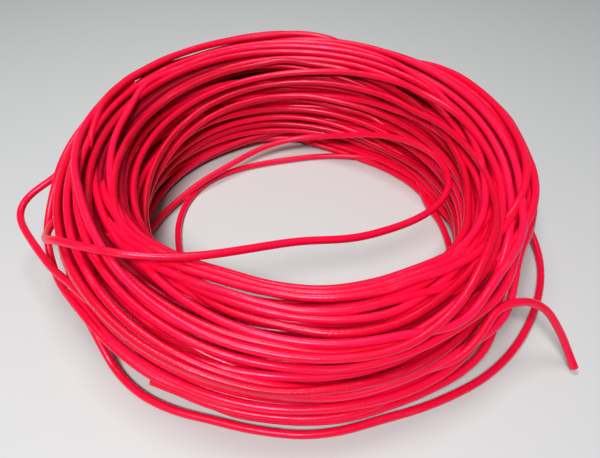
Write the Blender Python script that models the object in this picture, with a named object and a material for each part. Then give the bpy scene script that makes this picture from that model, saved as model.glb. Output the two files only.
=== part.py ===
"""A loose hand-wound hank of red insulated hook-up wire, lying flat on a bench.

One wire (PVC jacket over a conductor) is wound into a ring about 380 mm across. The packed
turns inside are one solid, bundle_core. The turns that show are laid over it one by one, each
falling into the grooves left by those before it. Slack loops, a span across the middle and
the two cut ends are pieces of their own.

+Z is up, +X to the right and -Y towards the front. The origin is the middle of the whole
hank's box, on the bench plane. Lengths are in millimetres from the ring's own centre until
build_paths moves them to the origin; they become metres as objects are made.

In the section across the bundle, points are (radius, height). A place on the section's
outline is a share of its length: 0 at the inner foot, over the top, to 1 at the outer foot.
"""
import bpy
import bmesh
import numpy as np
from mathutils import Vector

for old in list(bpy.data.objects):
    bpy.data.objects.remove(old, do_unlink=True)
PARTS = bpy.data.collections.new("wire_hank")
CUTTERS = bpy.data.collections.new("wire_hank_cutters")
bpy.context.scene.collection.children.link(PARTS)
bpy.context.scene.collection.children.link(CUTTERS)
bpy.context.scene.unit_settings.system = "METRIC"

# ---------------------------------------------------------------- dimensions (mm)
MM = 0.001
WIRE_D = 5.6                 # outside diameter of the insulated wire
WIRE_R = WIRE_D / 2
TUBE_R = 2.9                 # six-sided tube that stands for the round jacket
BORE_R = 1.8
CONDUCTOR_R = 1.45
CLEAR = 0.45                 # least air between two neighbouring lengths
PITCH = WIRE_D + CLEAR
STATIONS = 28                # control stations in one turn
TURNS = 26                   # surface turns modelled one by one
START = np.radians(150.0)    # angle at which the winding starts
LAYER = 7.0                  # depth of the surface turns over the packed core
CORE_DEPTH = LAYER + 1.8     # turns cut corners between stations, so the core lies deeper
CORE_POINTS = 13             # points round the core's section above its foot
CORE_FOOT_INSET = 1.0        # each edge of the core's foot, in from the outline's end
FLOOR = WIRE_R + 0.15        # lowest a wire axis can lie
TURN_TRIM = 1.2              # cut back at each end of a turn
BORE_OVERRUN = 2.0           # bore cutter, past each end of the jacket
CONDUCTOR_TRIM = (0.3, 0.4)  # conductor, back from the start and end of its jacket
MIDDLE = np.array([-12.978, -2.930, 0.0])   # middle of the hank's box from the ring's centre

# ---------------------------------------------------------------- the bundle's section
# Each is a mean, then swells round the ring: (order, size, peak angle in degrees).
INNER_R = (128.5, (1, 3.5, 215), (2, 9.0, 168), (3, 2.0, 325))
OUTER_R = (188.0, (1, 3.5, 158), (2, 2.0, 0))
TOP_Z = (94.5, (1, 15.0, 92), (2, 2.5, 0))

POWER = 3.2                  # superellipse exponent of the outline
WIDEST = 0.46                # height of the widest place, as a share of the top's
UNDERCUT = 1.16              # lower half-height over the widest place's height
SKIN_GAP = 0.4               # between the sunk outline and a wire lying on it


def dot(a, b):
    return (a * b).sum(-1)


def unit(vectors):
    return vectors / np.linalg.norm(vectors, axis=-1, keepdims=True)


def blend(a, b, part):
    return (1 - part) * a + part * b


def wave(angle, mean, *swells):
    """A radius or height around the ring."""
    value = mean
    for order, size, peak in swells:
        value = value + size * np.cos(order * (angle - np.radians(peak)))
    return value


def rounded(value):
    """A sine or cosine turned into its superellipse coordinate."""
    return np.sign(value) * np.abs(value) ** (2 / POWER)


# Parameter angle against share of length, on an outline of nominal 20 x 42 half-sizes.
SWEEP = np.radians(np.linspace(220.0, -40.0, 781))
SWEEP_SHARE = np.concatenate([[0], np.cumsum(np.hypot(
    np.diff(rounded(np.cos(SWEEP)) * 20.0), np.diff(rounded(np.sin(SWEEP)) * 42.0)))])
SWEEP_SHARE = SWEEP_SHARE / SWEEP_SHARE[-1]


def skin(angle, share, depth=LAYER):
    """Point and outward normal on the section outline sunk by depth."""
    angle, share = np.broadcast_arrays(np.asarray(angle, float), np.asarray(share, float))
    inner = wave(angle, *INNER_R) + depth
    outer = wave(angle, *OUTER_R) - depth
    top = wave(angle, *TOP_Z) - depth
    half_width, mid_r = (outer - inner) / 2, (outer + inner) / 2
    mid_z = WIDEST * top
    sweep = np.interp(np.clip(share, 0, 1), SWEEP_SHARE, SWEEP)
    across, up = rounded(np.cos(sweep)), rounded(np.sin(sweep))
    half_height = np.where(up > 0, top - mid_z, UNDERCUT * mid_z)
    point = np.stack([mid_r + half_width * across, mid_z + half_height * up], -1)
    normal = np.stack([np.sign(across) * np.abs(across) ** (POWER - 1) / half_width,
                       np.sign(up) * np.abs(up) ** (POWER - 1) / half_height], -1)
    return point, unit(normal)


def wire_at(angle, share, lift):
    """Axis point of a wire lifted off the sunk outline, and the outline's normal."""
    point, normal = skin(angle, share)
    axis = point + normal * (WIRE_R + SKIN_GAP + np.asarray(lift))[..., None]
    axis[..., 1] = np.maximum(axis[..., 1], FLOOR)
    return axis, normal


# ---------------------------------------------------------------- winding the turns
SEED = 21
SWEEP_START, SWEEP_RATE = 0.13, 0.2345   # to-and-fro phase, and its gain per turn
SWEEP_LOW, SWEEP_SPAN = 0.07, 0.87       # shares the to-and-fro covers
WANDERS = ((3.2, 0.032), (1.6, 0.05))    # (knots per turn, size in share)
FANS = ((0.16, 288, 36), (-0.07, 200, 40))   # sideways spread: (size, angle, width in degrees)
SHIFTS = np.arange(-18, 19) * 0.012      # sideways shifts a turn may try, in share
BEND_COST = 3200.0                       # per squared change of shift between stations
SHIFT_COST = 25                          # per unit of shift
CLIMB_COST, CLIMB_POWER = 0.5, 1.3       # cost of climbing over wires already laid
SAG = 1.8                                # how far a wire sags between supports, per station
CHECKS = np.array([0.0, 0.25, 0.5, 0.75, 1.0])   # places checked between two stations
RAISE_ROUNDS, SINK_ROUNDS = 60, 90
SINK_STEP = 0.9
LIFT_TOLERANCE = 0.01


def smooth_noise(rng, count, span, size):
    """Noise along the winding: a new random value every span stations, joined smoothly."""
    knots = rng.normal(0, size, int(count / span) + 4)
    place = np.arange(count) / span
    knot = place.astype(int)
    part = place - knot
    part = part * part * (3 - 2 * part)
    return blend(knots[knot], knots[knot + 1], 0) * (1 - part) + knots[knot + 1] * part


def folded(share):
    """Shares that run past either foot, turned back onto the outline."""
    return np.clip(1 - np.abs(1 - np.abs(share)), 0.0, 1.0)


def aimed_shares(angle, turn):
    """Where each station aims: to and fro across the section, wandering and fanned out."""
    rng = np.random.default_rng(SEED)
    swing = np.abs(((SWEEP_START + SWEEP_RATE * turn) % 2) - 1)
    share = SWEEP_LOW + SWEEP_SPAN * (1 - swing)
    for knots, size in WANDERS:
        share = share + smooth_noise(rng, len(turn), STATIONS / knots, size)
    share = folded(share)
    degrees = np.degrees(angle) % 360
    fan = sum(size * np.exp(-((degrees - peak) / width) ** 2) for size, peak, width in FANS)
    return folded(share + fan * 4 * share * (1 - share))


def rise(axis, normal, other, pitch=PITCH):
    """How far a wire axis has to move along its normal to clear another axis."""
    apart = axis - other
    along = dot(apart, normal)
    excess = dot(apart, apart) - pitch ** 2
    root = np.sqrt(np.maximum(along * along - excess, 0))
    return np.where(excess < -1e-6, -along + root, 0.0)


def climb_cost(height):
    return height ** CLIMB_POWER * CLIMB_COST


def cheapest(cost, cross, first):
    """Cheapest row of shifts, one per station, that starts at the shift first."""
    rows, columns = cost.shape
    step = BEND_COST * (SHIFTS[:, None] - SHIFTS[None, :]) ** 2
    total = np.where(np.arange(columns) == first, 0.0, 1e9)
    back = np.zeros((rows, columns), int)
    for row in range(1, rows):
        options = total[None, :] + step + cross[row - 1].T
        back[row] = options.argmin(1)
        total = options.min(1) + cost[row]
    path = np.zeros(rows, int)
    path[-1] = total.argmin()
    for row in range(rows - 1, 0, -1):
        path[row - 1] = back[row, path[row]]
    return path


def fall_sideways(angle, aim, starts, ends, first):
    """Shift numbers that take one turn into the grooves between the laid segments."""
    starts, ends = np.array(starts), np.array(ends)
    laid = np.concatenate([starts, ends[:, -1:]], 1)
    axis, normal = wire_at(angle[:, None], np.clip(aim[:, None] + SHIFTS, 0, 1), 0.0)
    need = rise(axis[:, :, None], normal[:, :, None], np.swapaxes(laid, 0, 1)[:, None]).max(-1)
    cost = climb_cost(need) + SHIFT_COST * np.abs(SHIFTS)
    # climb between stations, for every pair of shifts at the two
    cross = np.zeros((STATIONS, len(SHIFTS), len(SHIFTS)))
    for part in CHECKS[1:-1]:
        mid = blend(axis[:-1, :, None], axis[1:, None, :], part)
        mid_normal = blend(normal[:-1, :, None], normal[1:, None, :], part)
        other = blend(starts, ends, part)
        for k in range(STATIONS):
            climb = rise(mid[k][:, :, None], mid_normal[k][:, :, None], other[None, None, :, k])
            cross[k] = np.maximum(cross[k], climb.max(-1))
    return cheapest(cost, climb_cost(cross), first)


def clash(angle, share, lift, starts, ends):
    """How much higher the wire has to run at each station to clear those already laid."""
    need = np.zeros(len(angle))
    if not starts:
        return need
    starts, ends = np.array(starts), np.array(ends)
    axis, normal = wire_at(angle, share, lift)
    skew = (np.linalg.norm((axis[1:] - axis[:-1]) - (ends - starts), axis=-1)
            / (axis[:-1, 0] * 2 * np.pi / STATIONS))
    pitch = PITCH * np.sqrt(1 + skew ** 2)
    for part in CHECKS:
        mid_normal = unit(blend(normal[:-1], normal[1:], part))
        climb = rise(blend(axis[:-1], axis[1:], part), mid_normal,
                     blend(starts, ends, part), pitch).max(0)
        weight = (1 - part) ** 2 + part ** 2
        need[:-1] = np.maximum(need[:-1], climb * (1 - part) / weight)
        need[1:] = np.maximum(need[1:], climb * part / weight)
    return need


def sagged(lift):
    """Lowest lift the inner stations can sag to between their neighbours."""
    return (lift[:-2] + lift[2:]) / 2 - SAG


def rest(angle, share, lowest, starts, ends):
    """Lift of one turn: raised clear of those below, then sunk where nothing holds it."""
    lift = lowest.copy()
    for _ in range(RAISE_ROUNDS):
        need = clash(angle, share, lift, starts, ends)
        need[1:-1] = np.maximum(need[1:-1], sagged(lift) - lift[1:-1])
        if need.max() < LIFT_TOLERANCE:
            break
        lift = lift + need
    for k in range(SINK_ROUNDS):
        third = slice(k % 3, None, 3)
        trial = lift.copy()
        trial[third] = np.maximum(lowest[third], trial[third] - SINK_STEP)
        bad = clash(angle, share, trial, starts, ends) > LIFT_TOLERANCE
        bad[1:-1] |= trial[1:-1] < sagged(trial) - LIFT_TOLERANCE
        stuck = bad.copy()
        stuck[1:] |= bad[:-1]
        stuck[:-1] |= bad[1:]
        lift = np.where(stuck, lift, trial)
    return lift


def wind():
    """Lay the surface turns one after the other; returns the axis of the whole winding."""
    turn = np.arange(TURNS * STATIONS + 1) / STATIONS
    angle = START + 2 * np.pi * turn
    aim = aimed_shares(angle, turn)
    share = aim.copy()
    lift = np.zeros(len(turn))
    starts, ends = [], []          # per turn: ends of its segments, STATIONS x 2 each
    last = len(SHIFTS) // 2
    for i in range(TURNS):
        here = slice(i * STATIONS, (i + 1) * STATIONS + 1)
        if starts:
            path = fall_sideways(angle[here], aim[here], starts, ends, last)
            last = path[-1]
            share[here] = np.clip(aim[here] + SHIFTS[path], 0, 1)
        lift[here] = rest(angle[here], share[here], lift[here].copy(), starts, ends)
        axis, _ = wire_at(angle[here], share[here], lift[here])
        if ends:
            ends[-1][-1] = axis[0]     # this turn may have lifted the joint
        starts.append(axis[:-1].copy())
        ends.append(axis[1:].copy())
    axis, _ = wire_at(angle, share, lift)
    radius = axis[..., 0]
    return np.stack([radius * np.cos(angle), radius * np.sin(angle), axis[..., 1]], -1)


# ---------------------------------------------------------------- slack loops and ends
# Stations along each length: (angle round the ring in degrees, radius, height).
LOOPS = {
    "floor_loop": [
        (224, 122, 5), (210, 113, 3), (197, 111, 3), (180, 113, 3), (164, 115, 3), (148, 114, 3),
        (132, 108, 3), (115, 102, 3), (98, 101, 3), (82, 107, 3), (70, 113, 3.5)],
    "inner_floor_strand": [(15, 122, 4), (6, 127, 3), (356, 130, 3), (346, 133, 5)],
    "slack_turn_inner": [
        (183, 137, 5), (174, 129, 5), (163, 120, 6), (152, 113, 9), (138, 107, 12),
        (126, 106, 15), (112, 110, 18), (92, 114, 23), (70, 114, 32), (54, 114, 43),
        (38, 116, 52), (22, 122, 57), (9, 125, 59)],
    "front_end": [
        (285, 184, 13), (275, 185, 12), (266, 185, 12), (258, 185, 13), (251, 185.5, 14),
        (245, 187, 14), (238.5, 191, 14)],
    "bow_loop": [
        (173, 197, 66), (180, 207, 60), (183, 222, 55), (185.5, 232, 50), (189, 232, 47),
        (194, 223, 46), (200.5, 212, 46), (207.5, 203, 48), (214, 195, 52), (219, 192, 55)],
    "sag_loop": [
        (213, 195, 40), (219, 195, 28), (223.5, 196, 15), (228, 198, 5), (233.5, 199, 3),
        (239, 199, 3), (247, 196, 3), (253, 193, 3)],
    "loose_turn": [
        (258, 193, 3), (264, 193, 3), (271, 194, 3), (279, 193, 3), (287, 191, 3),
        (295, 193, 3), (303, 196, 3), (311, 200, 3), (320, 203, 3), (330, 205, 3),
        (340, 207, 3), (348, 208, 3), (354, 206, 6), (0, 202, 10), (6, 198, 14)],
    "slack_span": [
        (4, 123, 60), (357, 123, 61), (350, 119, 61), (342, 112, 60), (331, 103, 62),
        (316, 94, 66), (295, 89, 71), (271, 89, 77), (252, 107, 82), (238.5, 134, 87),
        (227.5, 160, 92), (217, 182, 92), (211, 193, 87), (207, 199, 76), (201, 201, 64),
        (195, 201, 55)],
    "tail": [
        (303, 190, 44), (309, 189, 53), (314.5, 186, 60), (320, 193.5, 57), (323, 201.5, 52),
        (324.5, 211, 44), (325, 219, 34.5), (325.2, 227, 24), (325, 235, 13),
        (324.3, 243.5, 3.8)],
}
# Lengths cut into pieces: the station numbers of the cuts, how far each side of a cut the
# wire is cut back, and the names of the pieces.
CHAINS = {
    "front_end": ([4], [1.6], ["front_end_run", "front_cut_end"]),
    "slack_span": ([11], [0.6], ["slack_span", "slack_span_end"]),
    "tail": ([2, 4, 6], [2.1, 1.7, 1.7], ["tail_root", "tail_lead", "tail_bend", "tail_tip"]),
}
LOOSE_AIR = CLEAR + 0.15     # air a loose length keeps from the others
CORE_AIR = 0.5               # air a loose length keeps from the sunk outline
NEAR = 25                    # segments further off than this are left out
SETTLE_ROUNDS = 260
HELD_SHARE = 0.7             # share of the rounds in which the length is held to its line
HOLD, EVEN_OUT = 0.06, 0.3   # pull to the drawn line, and smoothing of the offset from it
PUSH = 0.8                   # share of an overlap undone in one round
OVERLAP_TOLERANCE = 0.02


def gap_between(start, end, other_start, other_end):
    """Closest places of straight lengths: distance, vector from the other, share along."""
    run, other_run, offset = end - start, other_end - other_start, start - other_start
    square, other_square = dot(run, run), dot(other_run, other_run)
    other_lead, lead, mix = dot(other_run, offset), dot(run, offset), dot(run, other_run)
    spread = square * other_square - mix * mix
    skewed = spread > 1e-9
    share = np.where(skewed, (mix * other_lead - lead * other_square)
                     / np.where(skewed, spread, 1.0), 0.0)
    share = np.clip(share, 0, 1)
    other = (mix * share + other_lead) / other_square
    share = np.where(other < 0, np.clip(-lead / square, 0, 1),
                     np.where(other > 1, np.clip((mix - lead) / square, 0, 1), share))
    other = np.clip(other, 0, 1)
    gap = start + run * share[..., None] - other_start - other_run * other[..., None]
    return np.linalg.norm(gap, axis=-1), gap, share


def core_push(points):
    """How far, and which way, each axis point has to move to stay clear of the core."""
    angle = np.arctan2(points[:, 1], points[:, 0])
    section = np.stack([np.hypot(points[:, 0], points[:, 1]), points[:, 2]], -1)
    outline, normals = skin(angle[:, None], np.linspace(0, 1, 121)[None, :])
    apart = section[:, None] - outline
    nearest = np.linalg.norm(apart, axis=-1).argmin(1)
    each = np.arange(len(points))
    normal = normals[each, nearest]
    short = np.maximum(WIRE_R + CORE_AIR - dot(apart[each, nearest], normal), 0)
    radial = np.stack([np.cos(angle), np.sin(angle)], -1)
    return np.concatenate([radial * normal[:, :1], normal[:, 1:]], 1) * short[:, None]


def settle(drawn, laid):
    """Lay a loose length: it keeps to its drawn line but moves out of anything it would cut."""
    points = drawn.copy()
    others = np.concatenate([np.stack([line[:-1], line[1:]], 1) for line in laid])
    low, high = drawn.min(0) - NEAR, drawn.max(0) + NEAR
    others = others[((others.max(1) > low) & (others.min(1) < high)).all(1)]
    each = np.arange(len(points) - 1)
    for k in range(SETTLE_ROUNDS):
        free = k > SETTLE_ROUNDS * HELD_SHARE
        if not free:
            points += HOLD * (drawn - points)
            offset = points - drawn
            points[1:-1] += EVEN_OUT * ((offset[:-2] + offset[2:]) / 2 - offset[1:-1])
        distance, gap, share = gap_between(points[:-1][:, None], points[1:][:, None],
                                           others[None, :, 0], others[None, :, 1])
        short = np.maximum(WIRE_D + LOOSE_AIR - distance, 0)
        push = gap / np.maximum(distance, 1e-6)[..., None] * short[..., None]
        worst = short.argmax(1)
        push = push[each, worst]
        part = share[each, worst][:, None]
        weight = (1 - part) ** 2 + part ** 2
        move = np.zeros_like(points)
        move[:-1] += push * (1 - part) / weight
        move[1:] += push * part / weight
        points += move * PUSH
        mid_push = core_push((points[:-1] + points[1:]) / 2)
        points[:-1] += 0.5 * mid_push
        points[1:] += 0.5 * mid_push
        points += core_push(points)
        points[:, 2] = np.maximum(points[:, 2], FLOOR)
        if free and short.max() < OVERLAP_TOLERANCE:
            break
    return points


def path_of(stations):
    degrees, radius, height = np.array(stations, float).T
    angle = np.radians(degrees)
    return np.stack([radius * np.cos(angle), radius * np.sin(angle), height], -1)


def trimmed(points, start, end):
    """The same length cut back along the wire at its two ends; negative lengthens it."""
    points = points.copy()
    points[0] += (points[1] - points[0]) / np.linalg.norm(points[1] - points[0]) * start
    points[-1] += (points[-2] - points[-1]) / np.linalg.norm(points[-2] - points[-1]) * end
    return points


def build_paths():
    """Named lines of points for the turns and the loose pieces, and the cut points."""
    line = wind()
    turns = {}
    for i in range(TURNS):
        points = line[i * STATIONS:(i + 1) * STATIONS + 1]
        turns["turn_%02d" % (i + 1)] = trimmed(points, TURN_TRIM, TURN_TRIM)
    laid = list(turns.values())
    loops, hinges = {}, {}
    for name, stations in LOOPS.items():
        points = settle(path_of(stations), laid)
        laid.append(points)
        cuts, trims, pieces = CHAINS.get(name, ([], [], [name]))
        bounds = [0] + cuts + [len(points) - 1]
        trims = [0.0] + trims + [0.0]
        hinges[name] = [points[cut] - MIDDLE for cut in cuts]
        for k, piece in enumerate(pieces):
            part = points[bounds[k]:bounds[k + 1] + 1]
            loops[piece] = trimmed(part, trims[k], trims[k + 1]) - MIDDLE
    return {name: points - MIDDLE for name, points in turns.items()}, loops, hinges


# ---------------------------------------------------------------- materials
JACKET_RED = (0.62, 0.008, 0.028)
COPPER = (0.85, 0.42, 0.22)
CORE_SHADE = 0.75                        # the core is darker than the loose lengths
TURN_SHADE, SHADE_STEP, SHADES = 0.9, 0.02, 6   # darkest turn, then steps up, repeating


def make_material(name, colour, roughness, metallic):
    material = bpy.data.materials.new(name)
    material.use_nodes = True
    inputs = material.node_tree.nodes["Principled BSDF"].inputs
    inputs["Base Color"].default_value = (*colour, 1.0)
    inputs["Roughness"].default_value = roughness
    inputs["Metallic"].default_value = metallic
    return material


def red(piece, shade=1.0):
    colour = [channel * shade for channel in JACKET_RED]
    return make_material("jacket_" + piece, colour, roughness=0.36, metallic=0.0)


def copper(piece):
    return make_material("copper_" + piece, COPPER, roughness=0.3, metallic=1.0)


# ---------------------------------------------------------------- objects
def wire_object(name, points, material, radius=TUBE_R, resolution=1):
    """A length of wire as a POLY curve with a round bevel and filled caps."""
    data = bpy.data.curves.new(name, "CURVE")
    data.dimensions = "3D"
    data.twist_mode = "MINIMUM"
    data.bevel_depth = radius * MM
    data.bevel_resolution = resolution
    data.use_fill_caps = True
    data.render_resolution_u = 0
    spline = data.splines.new("POLY")
    spline.points.add(len(points) - 1)
    for point, place in zip(spline.points, points):
        point.co = (*(Vector(place) * MM), 1.0)
    data.materials.append(material)
    obj = bpy.data.objects.new(name, data)
    PARTS.objects.link(obj)
    return obj


def solid_wire(name, points, material, radius, collection):
    """A length of wire as a closed mesh."""
    curve = wire_object(name, points, material, radius, resolution=2)
    bpy.context.view_layer.update()
    graph = bpy.context.evaluated_depsgraph_get()
    mesh = bpy.data.meshes.new_from_object(curve.evaluated_get(graph), depsgraph=graph)
    bm = bmesh.new()
    bm.from_mesh(mesh)
    bmesh.ops.remove_doubles(bm, verts=bm.verts, dist=0.00001)
    bmesh.ops.recalc_face_normals(bm, faces=bm.faces)
    bm.to_mesh(mesh)
    bm.free()
    bpy.data.objects.remove(curve, do_unlink=True)
    if not mesh.materials:
        mesh.materials.append(material)
    obj = bpy.data.objects.new(name, mesh)
    collection.objects.link(obj)
    return obj


def jacket_object(name, points):
    """A length of jacket with its bore open at both ends."""
    material = red(name)
    jacket = solid_wire(name, points, material, WIRE_R, PARTS)
    line = trimmed(points, -BORE_OVERRUN, -BORE_OVERRUN)
    cutter = solid_wire(name + "_bore", line, material, BORE_R, CUTTERS)
    cutter.hide_render = True
    cutter.display_type = "WIRE"
    cut = jacket.modifiers.new("bore", "BOOLEAN")
    cut.operation = "DIFFERENCE"
    cut.solver = "EXACT"
    cut.object = cutter
    return jacket


def core_object():
    """The packed turns: a ring lofted through a flat-footed section at every station."""
    bm = bmesh.new()
    rings = []
    for k in range(STATIONS):
        angle = START + 2 * np.pi * k / STATIONS
        outline, _ = skin(angle, np.linspace(0, 1, CORE_POINTS), CORE_DEPTH)
        section = [(outline[0, 0] + CORE_FOOT_INSET, 0.0), *outline,
                   (outline[-1, 0] - CORE_FOOT_INSET, 0.0)]
        rings.append([bm.verts.new(((radius * np.cos(angle) - MIDDLE[0]) * MM,
                                    (radius * np.sin(angle) - MIDDLE[1]) * MM, z * MM))
                      for radius, z in section])
    for k, ring in enumerate(rings):
        following = rings[(k + 1) % STATIONS]
        for i in range(len(ring)):
            j = (i + 1) % len(ring)
            bm.faces.new((ring[i], following[i], following[j], ring[j]))
    bmesh.ops.recalc_face_normals(bm, faces=bm.faces)
    mesh = bpy.data.meshes.new("bundle_core")
    bm.to_mesh(mesh)
    bm.free()
    for face in mesh.polygons:
        face.use_smooth = True
    mesh.materials.append(red("bundle_core", CORE_SHADE))
    PARTS.objects.link(bpy.data.objects.new("bundle_core", mesh))


def hinge_empty(name, where, axis):
    """An empty on a joint, its Z along the joint's axis, for the pieces that turn about it."""
    empty = bpy.data.objects.new(name, None)
    empty.empty_display_type = "SINGLE_ARROW"
    empty.empty_display_size = 0.03
    empty.rotation_mode = "QUATERNION"
    empty.rotation_quaternion = Vector((0, 0, 1)).rotation_difference(Vector(axis))
    empty.location = Vector(where) * MM
    PARTS.objects.link(empty)
    return empty


def hang(obj, empty):
    """Parent an object to a hinge without moving it."""
    bpy.context.view_layer.update()
    obj.parent = empty
    obj.matrix_parent_inverse = empty.matrix_world.inverted()


def hang_end_piece(name, points, conductor, metal, hinge):
    """A jacket and the conductor in its bore, both on one hinge."""
    hang(jacket_object(name, points), hinge)
    core_line = trimmed(points, *CONDUCTOR_TRIM)
    hang(wire_object(conductor, core_line, copper(metal), CONDUCTOR_R), hinge)


def swinging_length(name, points):
    """A slack length that swings like a bail about the two points where it is held."""
    obj = wire_object(name, points, red(name))
    hang(obj, hinge_empty(name + "_axis", points[0], points[-1] - points[0]))


def front_end(points, hinge_point):
    """The front cut end, which swings away from the bundle about an upright axis."""
    hinge = hinge_empty("front_end_axis", hinge_point, (0, 0, 1))
    hang_end_piece("front_cut_end", points, "front_end_conductor", "front", hinge)


def tail(loops, joints):
    """The long free end: it swings sideways at the bundle and bends up and down twice."""
    run = joints[2] - joints[1]
    level = np.array([-run[1], run[0], 0.0])
    level = level / np.linalg.norm(level)
    hinges = [hinge_empty("tail_swing_axis", joints[0], (0, 0, 1)),
              hinge_empty("tail_lift_axis", joints[1], level),
              hinge_empty("tail_curl_axis", joints[2], level)]
    hang(hinges[1], hinges[0])
    hang(hinges[2], hinges[1])
    for hinge, name in zip(hinges, ("tail_lead", "tail_bend", "tail_tip")):
        hang_end_piece(name, loops[name], name + "_conductor", name, hinge)


turns, loops, hinges = build_paths()
core_object()
for k, (name, points) in enumerate(turns.items()):
    wire_object(name, points, red(name, TURN_SHADE + SHADE_STEP * (k % SHADES)))
for name in ("floor_loop", "inner_floor_strand", "slack_turn_inner", "front_end_run",
             "slack_span_end", "tail_root"):
    wire_object(name, loops[name], red(name))
for name in ("bow_loop", "sag_loop", "loose_turn", "slack_span"):
    swinging_length(name, loops[name])
front_end(loops["front_cut_end"], hinges["front_end"][0])
tail(loops, hinges["tail"])
bpy.context.view_layer.update()
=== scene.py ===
"""Looks of a loose hand-wound hank of red insulated wire, with two cut ends of stranded copper.

The ring lies flat on the floor round the Z axis, its front towards -Y and its right towards +X.
Angles run round it from +X towards +Y. The surface turns are wound one by one, more turns fill
the gaps between them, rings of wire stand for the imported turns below, and slack lengths run on
into the bundle. Helpers work in millimetres from the ring's own centre; MIDDLE and MM take the
result to the row frame in metres.
"""

import math
from collections import namedtuple

import bmesh
import bpy
import numpy as np
from mathutils import Matrix, Vector


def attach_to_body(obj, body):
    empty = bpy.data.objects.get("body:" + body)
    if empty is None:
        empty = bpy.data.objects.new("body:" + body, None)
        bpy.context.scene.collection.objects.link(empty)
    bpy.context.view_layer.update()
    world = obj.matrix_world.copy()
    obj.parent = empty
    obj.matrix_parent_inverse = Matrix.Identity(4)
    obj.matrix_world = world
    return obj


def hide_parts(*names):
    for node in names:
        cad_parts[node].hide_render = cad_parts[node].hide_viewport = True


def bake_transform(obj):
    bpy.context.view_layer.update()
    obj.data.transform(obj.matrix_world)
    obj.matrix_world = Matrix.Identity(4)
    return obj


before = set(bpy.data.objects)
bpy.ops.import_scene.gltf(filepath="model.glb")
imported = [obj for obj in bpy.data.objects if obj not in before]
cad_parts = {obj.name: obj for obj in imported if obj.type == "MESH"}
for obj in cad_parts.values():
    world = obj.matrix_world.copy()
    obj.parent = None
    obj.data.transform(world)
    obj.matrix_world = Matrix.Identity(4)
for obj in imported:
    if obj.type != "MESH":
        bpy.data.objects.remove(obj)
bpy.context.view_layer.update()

MM = 0.001
MIDDLE = np.array([-12.978, -2.930, 0.0])   # middle of the whole hank's box, from the ring's centre

# ---------------------------------------------------------------- dimensions (mm)
WIRE_D = 5.6            # outside diameter of the insulated wire
WIRE_R = WIRE_D / 2
CLEAR = 0.45            # least air left between two neighbouring lengths
PITCH = WIRE_D + CLEAR
FLOOR = WIRE_R + 0.15   # lowest a wire axis can lie
LAYER = 7.0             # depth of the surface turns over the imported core
SKIN_GAP = 0.4          # air between the core and a wire lying on it

STATIONS = 28           # control stations in one turn
TURNS = 26              # surface turns
GAP_TURNS = 18          # turns in the gaps of the surface layer
START = np.radians(150.0)
TUCK_STEPS = 4          # stations over which an end of a winding dives into the bundle
TUCK_LIFT = -11.0       # lift at which it ends

DIP = 1.8               # most a stiff wire sags between two supports, per station
GAP_DIP = 2.6           # the same for the gap turns
GAP_DEEPEST = 7.0       # furthest a gap turn dips under the surface
SHARES = np.array([0.0, 0.25, 0.5, 0.75, 1.0])   # where clearance is taken between two stations
SHIFTS = np.arange(-18, 19) * 0.012              # sideways moves a turn may try at a station
PACKED_LIFT = -7.8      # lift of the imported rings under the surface
PACKED_R = 2.95

TUBE_R = 2.88           # drawn radius: neighbours just about touch
BORE_R = 1.75           # bore of the jacket at the open ends
TUBE_SIDES = 12
STRAND_SIDES = 14
SLEEVE_SIDES = 20
PACKED_SIDES = 10
PER = 5                 # drawn points per station of a winding

# settling a slack length among the others
SETTLE_HOLD = 0.06      # pull back to its own line, per round
SETTLE_AIR = CLEAR + 0.15
SETTLE_ROUNDS = 260


# ---------------------------------------------------------------- small curves
def wave(angle, mean, *swells):
    """A radius or height round the ring: a mean and some (order, size, peak in degrees)."""
    value = mean + 0.0 * angle
    for order, size, peak in swells:
        value = value + size * np.cos(order * (angle - np.radians(peak)))
    return value


def ease(share):
    share = np.clip(share, 0.0, 1.0)
    return share * share * (3 - 2 * share)


def bell(distance, width):
    return np.exp(-(distance / width) ** 2)


def degrees_from(angle, middle):
    """Signed degrees from middle to angle, the short way round."""
    return (np.degrees(angle) - middle + 180) % 360 - 180


def fold(place):
    """Turn back at 0 and 1 anything that runs past them."""
    return np.clip(1 - np.abs(1 - np.abs(place)), 0, 1)


def smooth_noise(rng, count, span, size):
    """Seeded noise along a line: a new random value every span points, joined smoothly."""
    knots = rng.normal(0, size, int(count / span) + 4)
    where = np.arange(count) / span
    knot = where.astype(int)
    share = ease(where - knot)
    return knots[knot] * (1 - share) + knots[knot + 1] * share


# ---------------------------------------------------------------- section of the bundle
# The outline is a superellipse with a flat foot. A "place" is the share of the way from its inner
# foot (0) over the top to its outer foot (1); a "lift" is the height of a wire above the core.
def inner_r(angle):
    return wave(angle, 128.5, (1, 3.5, 215), (2, 9.0, 168), (3, 2.0, 325))


def outer_r(angle):
    return wave(angle, 188.0, (1, 3.5, 158), (2, 2.0, 0))


def top_z(angle):
    return wave(angle, 94.5, (1, 15.0, 92), (2, 2.5, 0))


POWER = 3.2


def squared(value):
    """A sine or cosine bent to the superellipse."""
    return np.sign(value) * np.abs(value) ** (2 / POWER)


def outline_shares(turn, half_width=20.0, half_height=42.0):
    """Share of the outline's length reached at each angle of turn, on a typical section."""
    x, z = squared(np.cos(turn)) * half_width, squared(np.sin(turn)) * half_height
    length = np.concatenate([[0], np.cumsum(np.hypot(np.diff(x), np.diff(z)))])
    return length / length[-1]


OUTLINE_TURN = np.radians(np.linspace(220.0, -40.0, 781))
OUTLINE_SHARE = outline_shares(OUTLINE_TURN)


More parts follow.
